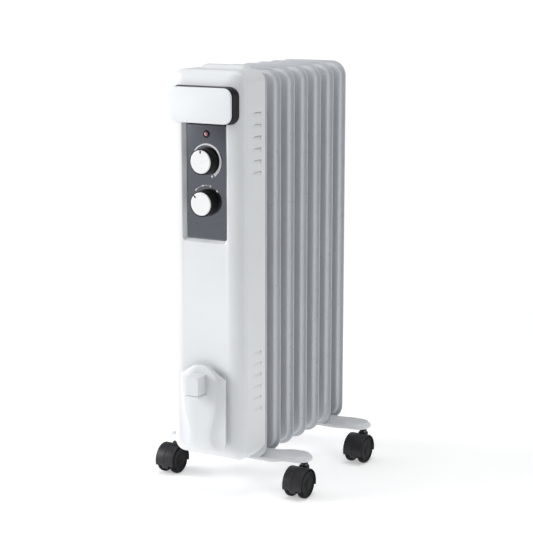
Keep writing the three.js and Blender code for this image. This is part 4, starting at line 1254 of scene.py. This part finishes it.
def stage_floor():
    """A round, plain, pale floor."""
    shape = bmesh.new()
    bmesh.ops.create_circle(shape, cap_ends=True, segments=96, radius=FLOOR_RADIUS)
    mesh = bpy.data.meshes.new("floor")
    shape.to_mesh(mesh)
    shape.free()
    obj = add_object("floor", mesh)
    pale = Shader("studio_floor", (0.9, 0.9, 0.9), 0.9, Specular_IOR_Level=0.0,
                  Emission_Color=(1, 1, 1, 1), Emission_Strength=FLOOR_GLOW)
    pale.tint(pale.noise(3, 2), (0.885, 0.885, 0.885))
    mesh.materials.append(pale.material)


def direction(azimuth, elevation):
    """Unit vector towards a point seen at this azimuth (0 is the front, 90 the right) and height."""
    turn, lift = math.radians(azimuth), math.radians(elevation)
    return Vector((math.sin(turn) * math.cos(lift), -math.cos(turn) * math.cos(lift), math.sin(lift)))


def face(obj, location, toward):
    """Puts a light or camera here, looking away from this direction."""
    obj.location = location
    obj.rotation_mode = "QUATERNION"
    obj.rotation_quaternion = (-toward).to_track_quat("-Z", "Y")


def soft_box(name, azimuth, elevation, distance, width, height, power):
    """A rectangular area light that faces the heater; its numbers are those of SOFT_BOXES."""
    data = bpy.data.lights.new(name, "AREA")
    data.shape = "RECTANGLE"
    data.size = width
    data.size_y = height
    data.energy = power
    toward = direction(azimuth, elevation)
    face(add_object(name, data), LIGHT_AIM + toward * distance, toward)


def studio():
    """A white surround for the eye, a dimmer one for the light, and three soft boxes."""
    stage_floor()
    world = bpy.data.worlds.new("studio")
    world.use_nodes = True
    nodes = world.node_tree.nodes
    links = world.node_tree.links
    dim = nodes["Background"]
    dim.inputs["Color"].default_value = (0.97, 0.985, 1.0, 1)
    bright = new_node(nodes, "Background", Color=(1, 1, 1, 1), Strength=SURROUND)
    place = nodes.new("ShaderNodeTexCoord").outputs["Generated"]
    split = nodes.new("ShaderNodeSeparateXYZ")
    links.new(place, split.inputs["Vector"])
    sky = new_node(nodes, "MapRange", From_Min=-0.02, From_Max=0.02, To_Min=LOW_SKY, To_Max=WORLD_LIGHT)
    links.new(split.outputs["Z"], sky.inputs["Value"])
    links.new(sky.outputs["Result"], dim.inputs["Strength"])
    mix = nodes.new("ShaderNodeMixShader")
    links.new(nodes.new("ShaderNodeLightPath").outputs["Is Camera Ray"], mix.inputs["Fac"])
    links.new(dim.outputs["Background"], mix.inputs[1])
    links.new(bright.outputs["Background"], mix.inputs[2])
    links.new(mix.outputs["Shader"], nodes["World Output"].inputs["Surface"])
    bpy.context.scene.world = world
    for name, settings in SOFT_BOXES.items():
        soft_box(name, *settings)
    bpy.context.scene.view_settings.view_transform = "Standard"


CAMERA_DISTANCE = 2091.93  # millimetres
CAMERA_AZIMUTH = 30.66
CAMERA_ELEVATION = 11.01
CAMERA_TARGET = (101.88, 0.0, 357.15)  # x, depth behind the front plane, height
CAMERA_LENS = 101.7


def camera():
    data = bpy.data.cameras.new("camera")
    data.lens = CAMERA_LENS
    data.sensor_width = 36
    data.clip_start, data.clip_end = 0.05, 100
    obj = add_object("camera", data)
    back = direction(CAMERA_AZIMUTH, CAMERA_ELEVATION)
    x, depth, z = CAMERA_TARGET
    face(obj, (Vector((x, FRONT + depth, z)) + back * CAMERA_DISTANCE) * MM, back)
    bpy.context.scene.camera = obj


studio()
camera()
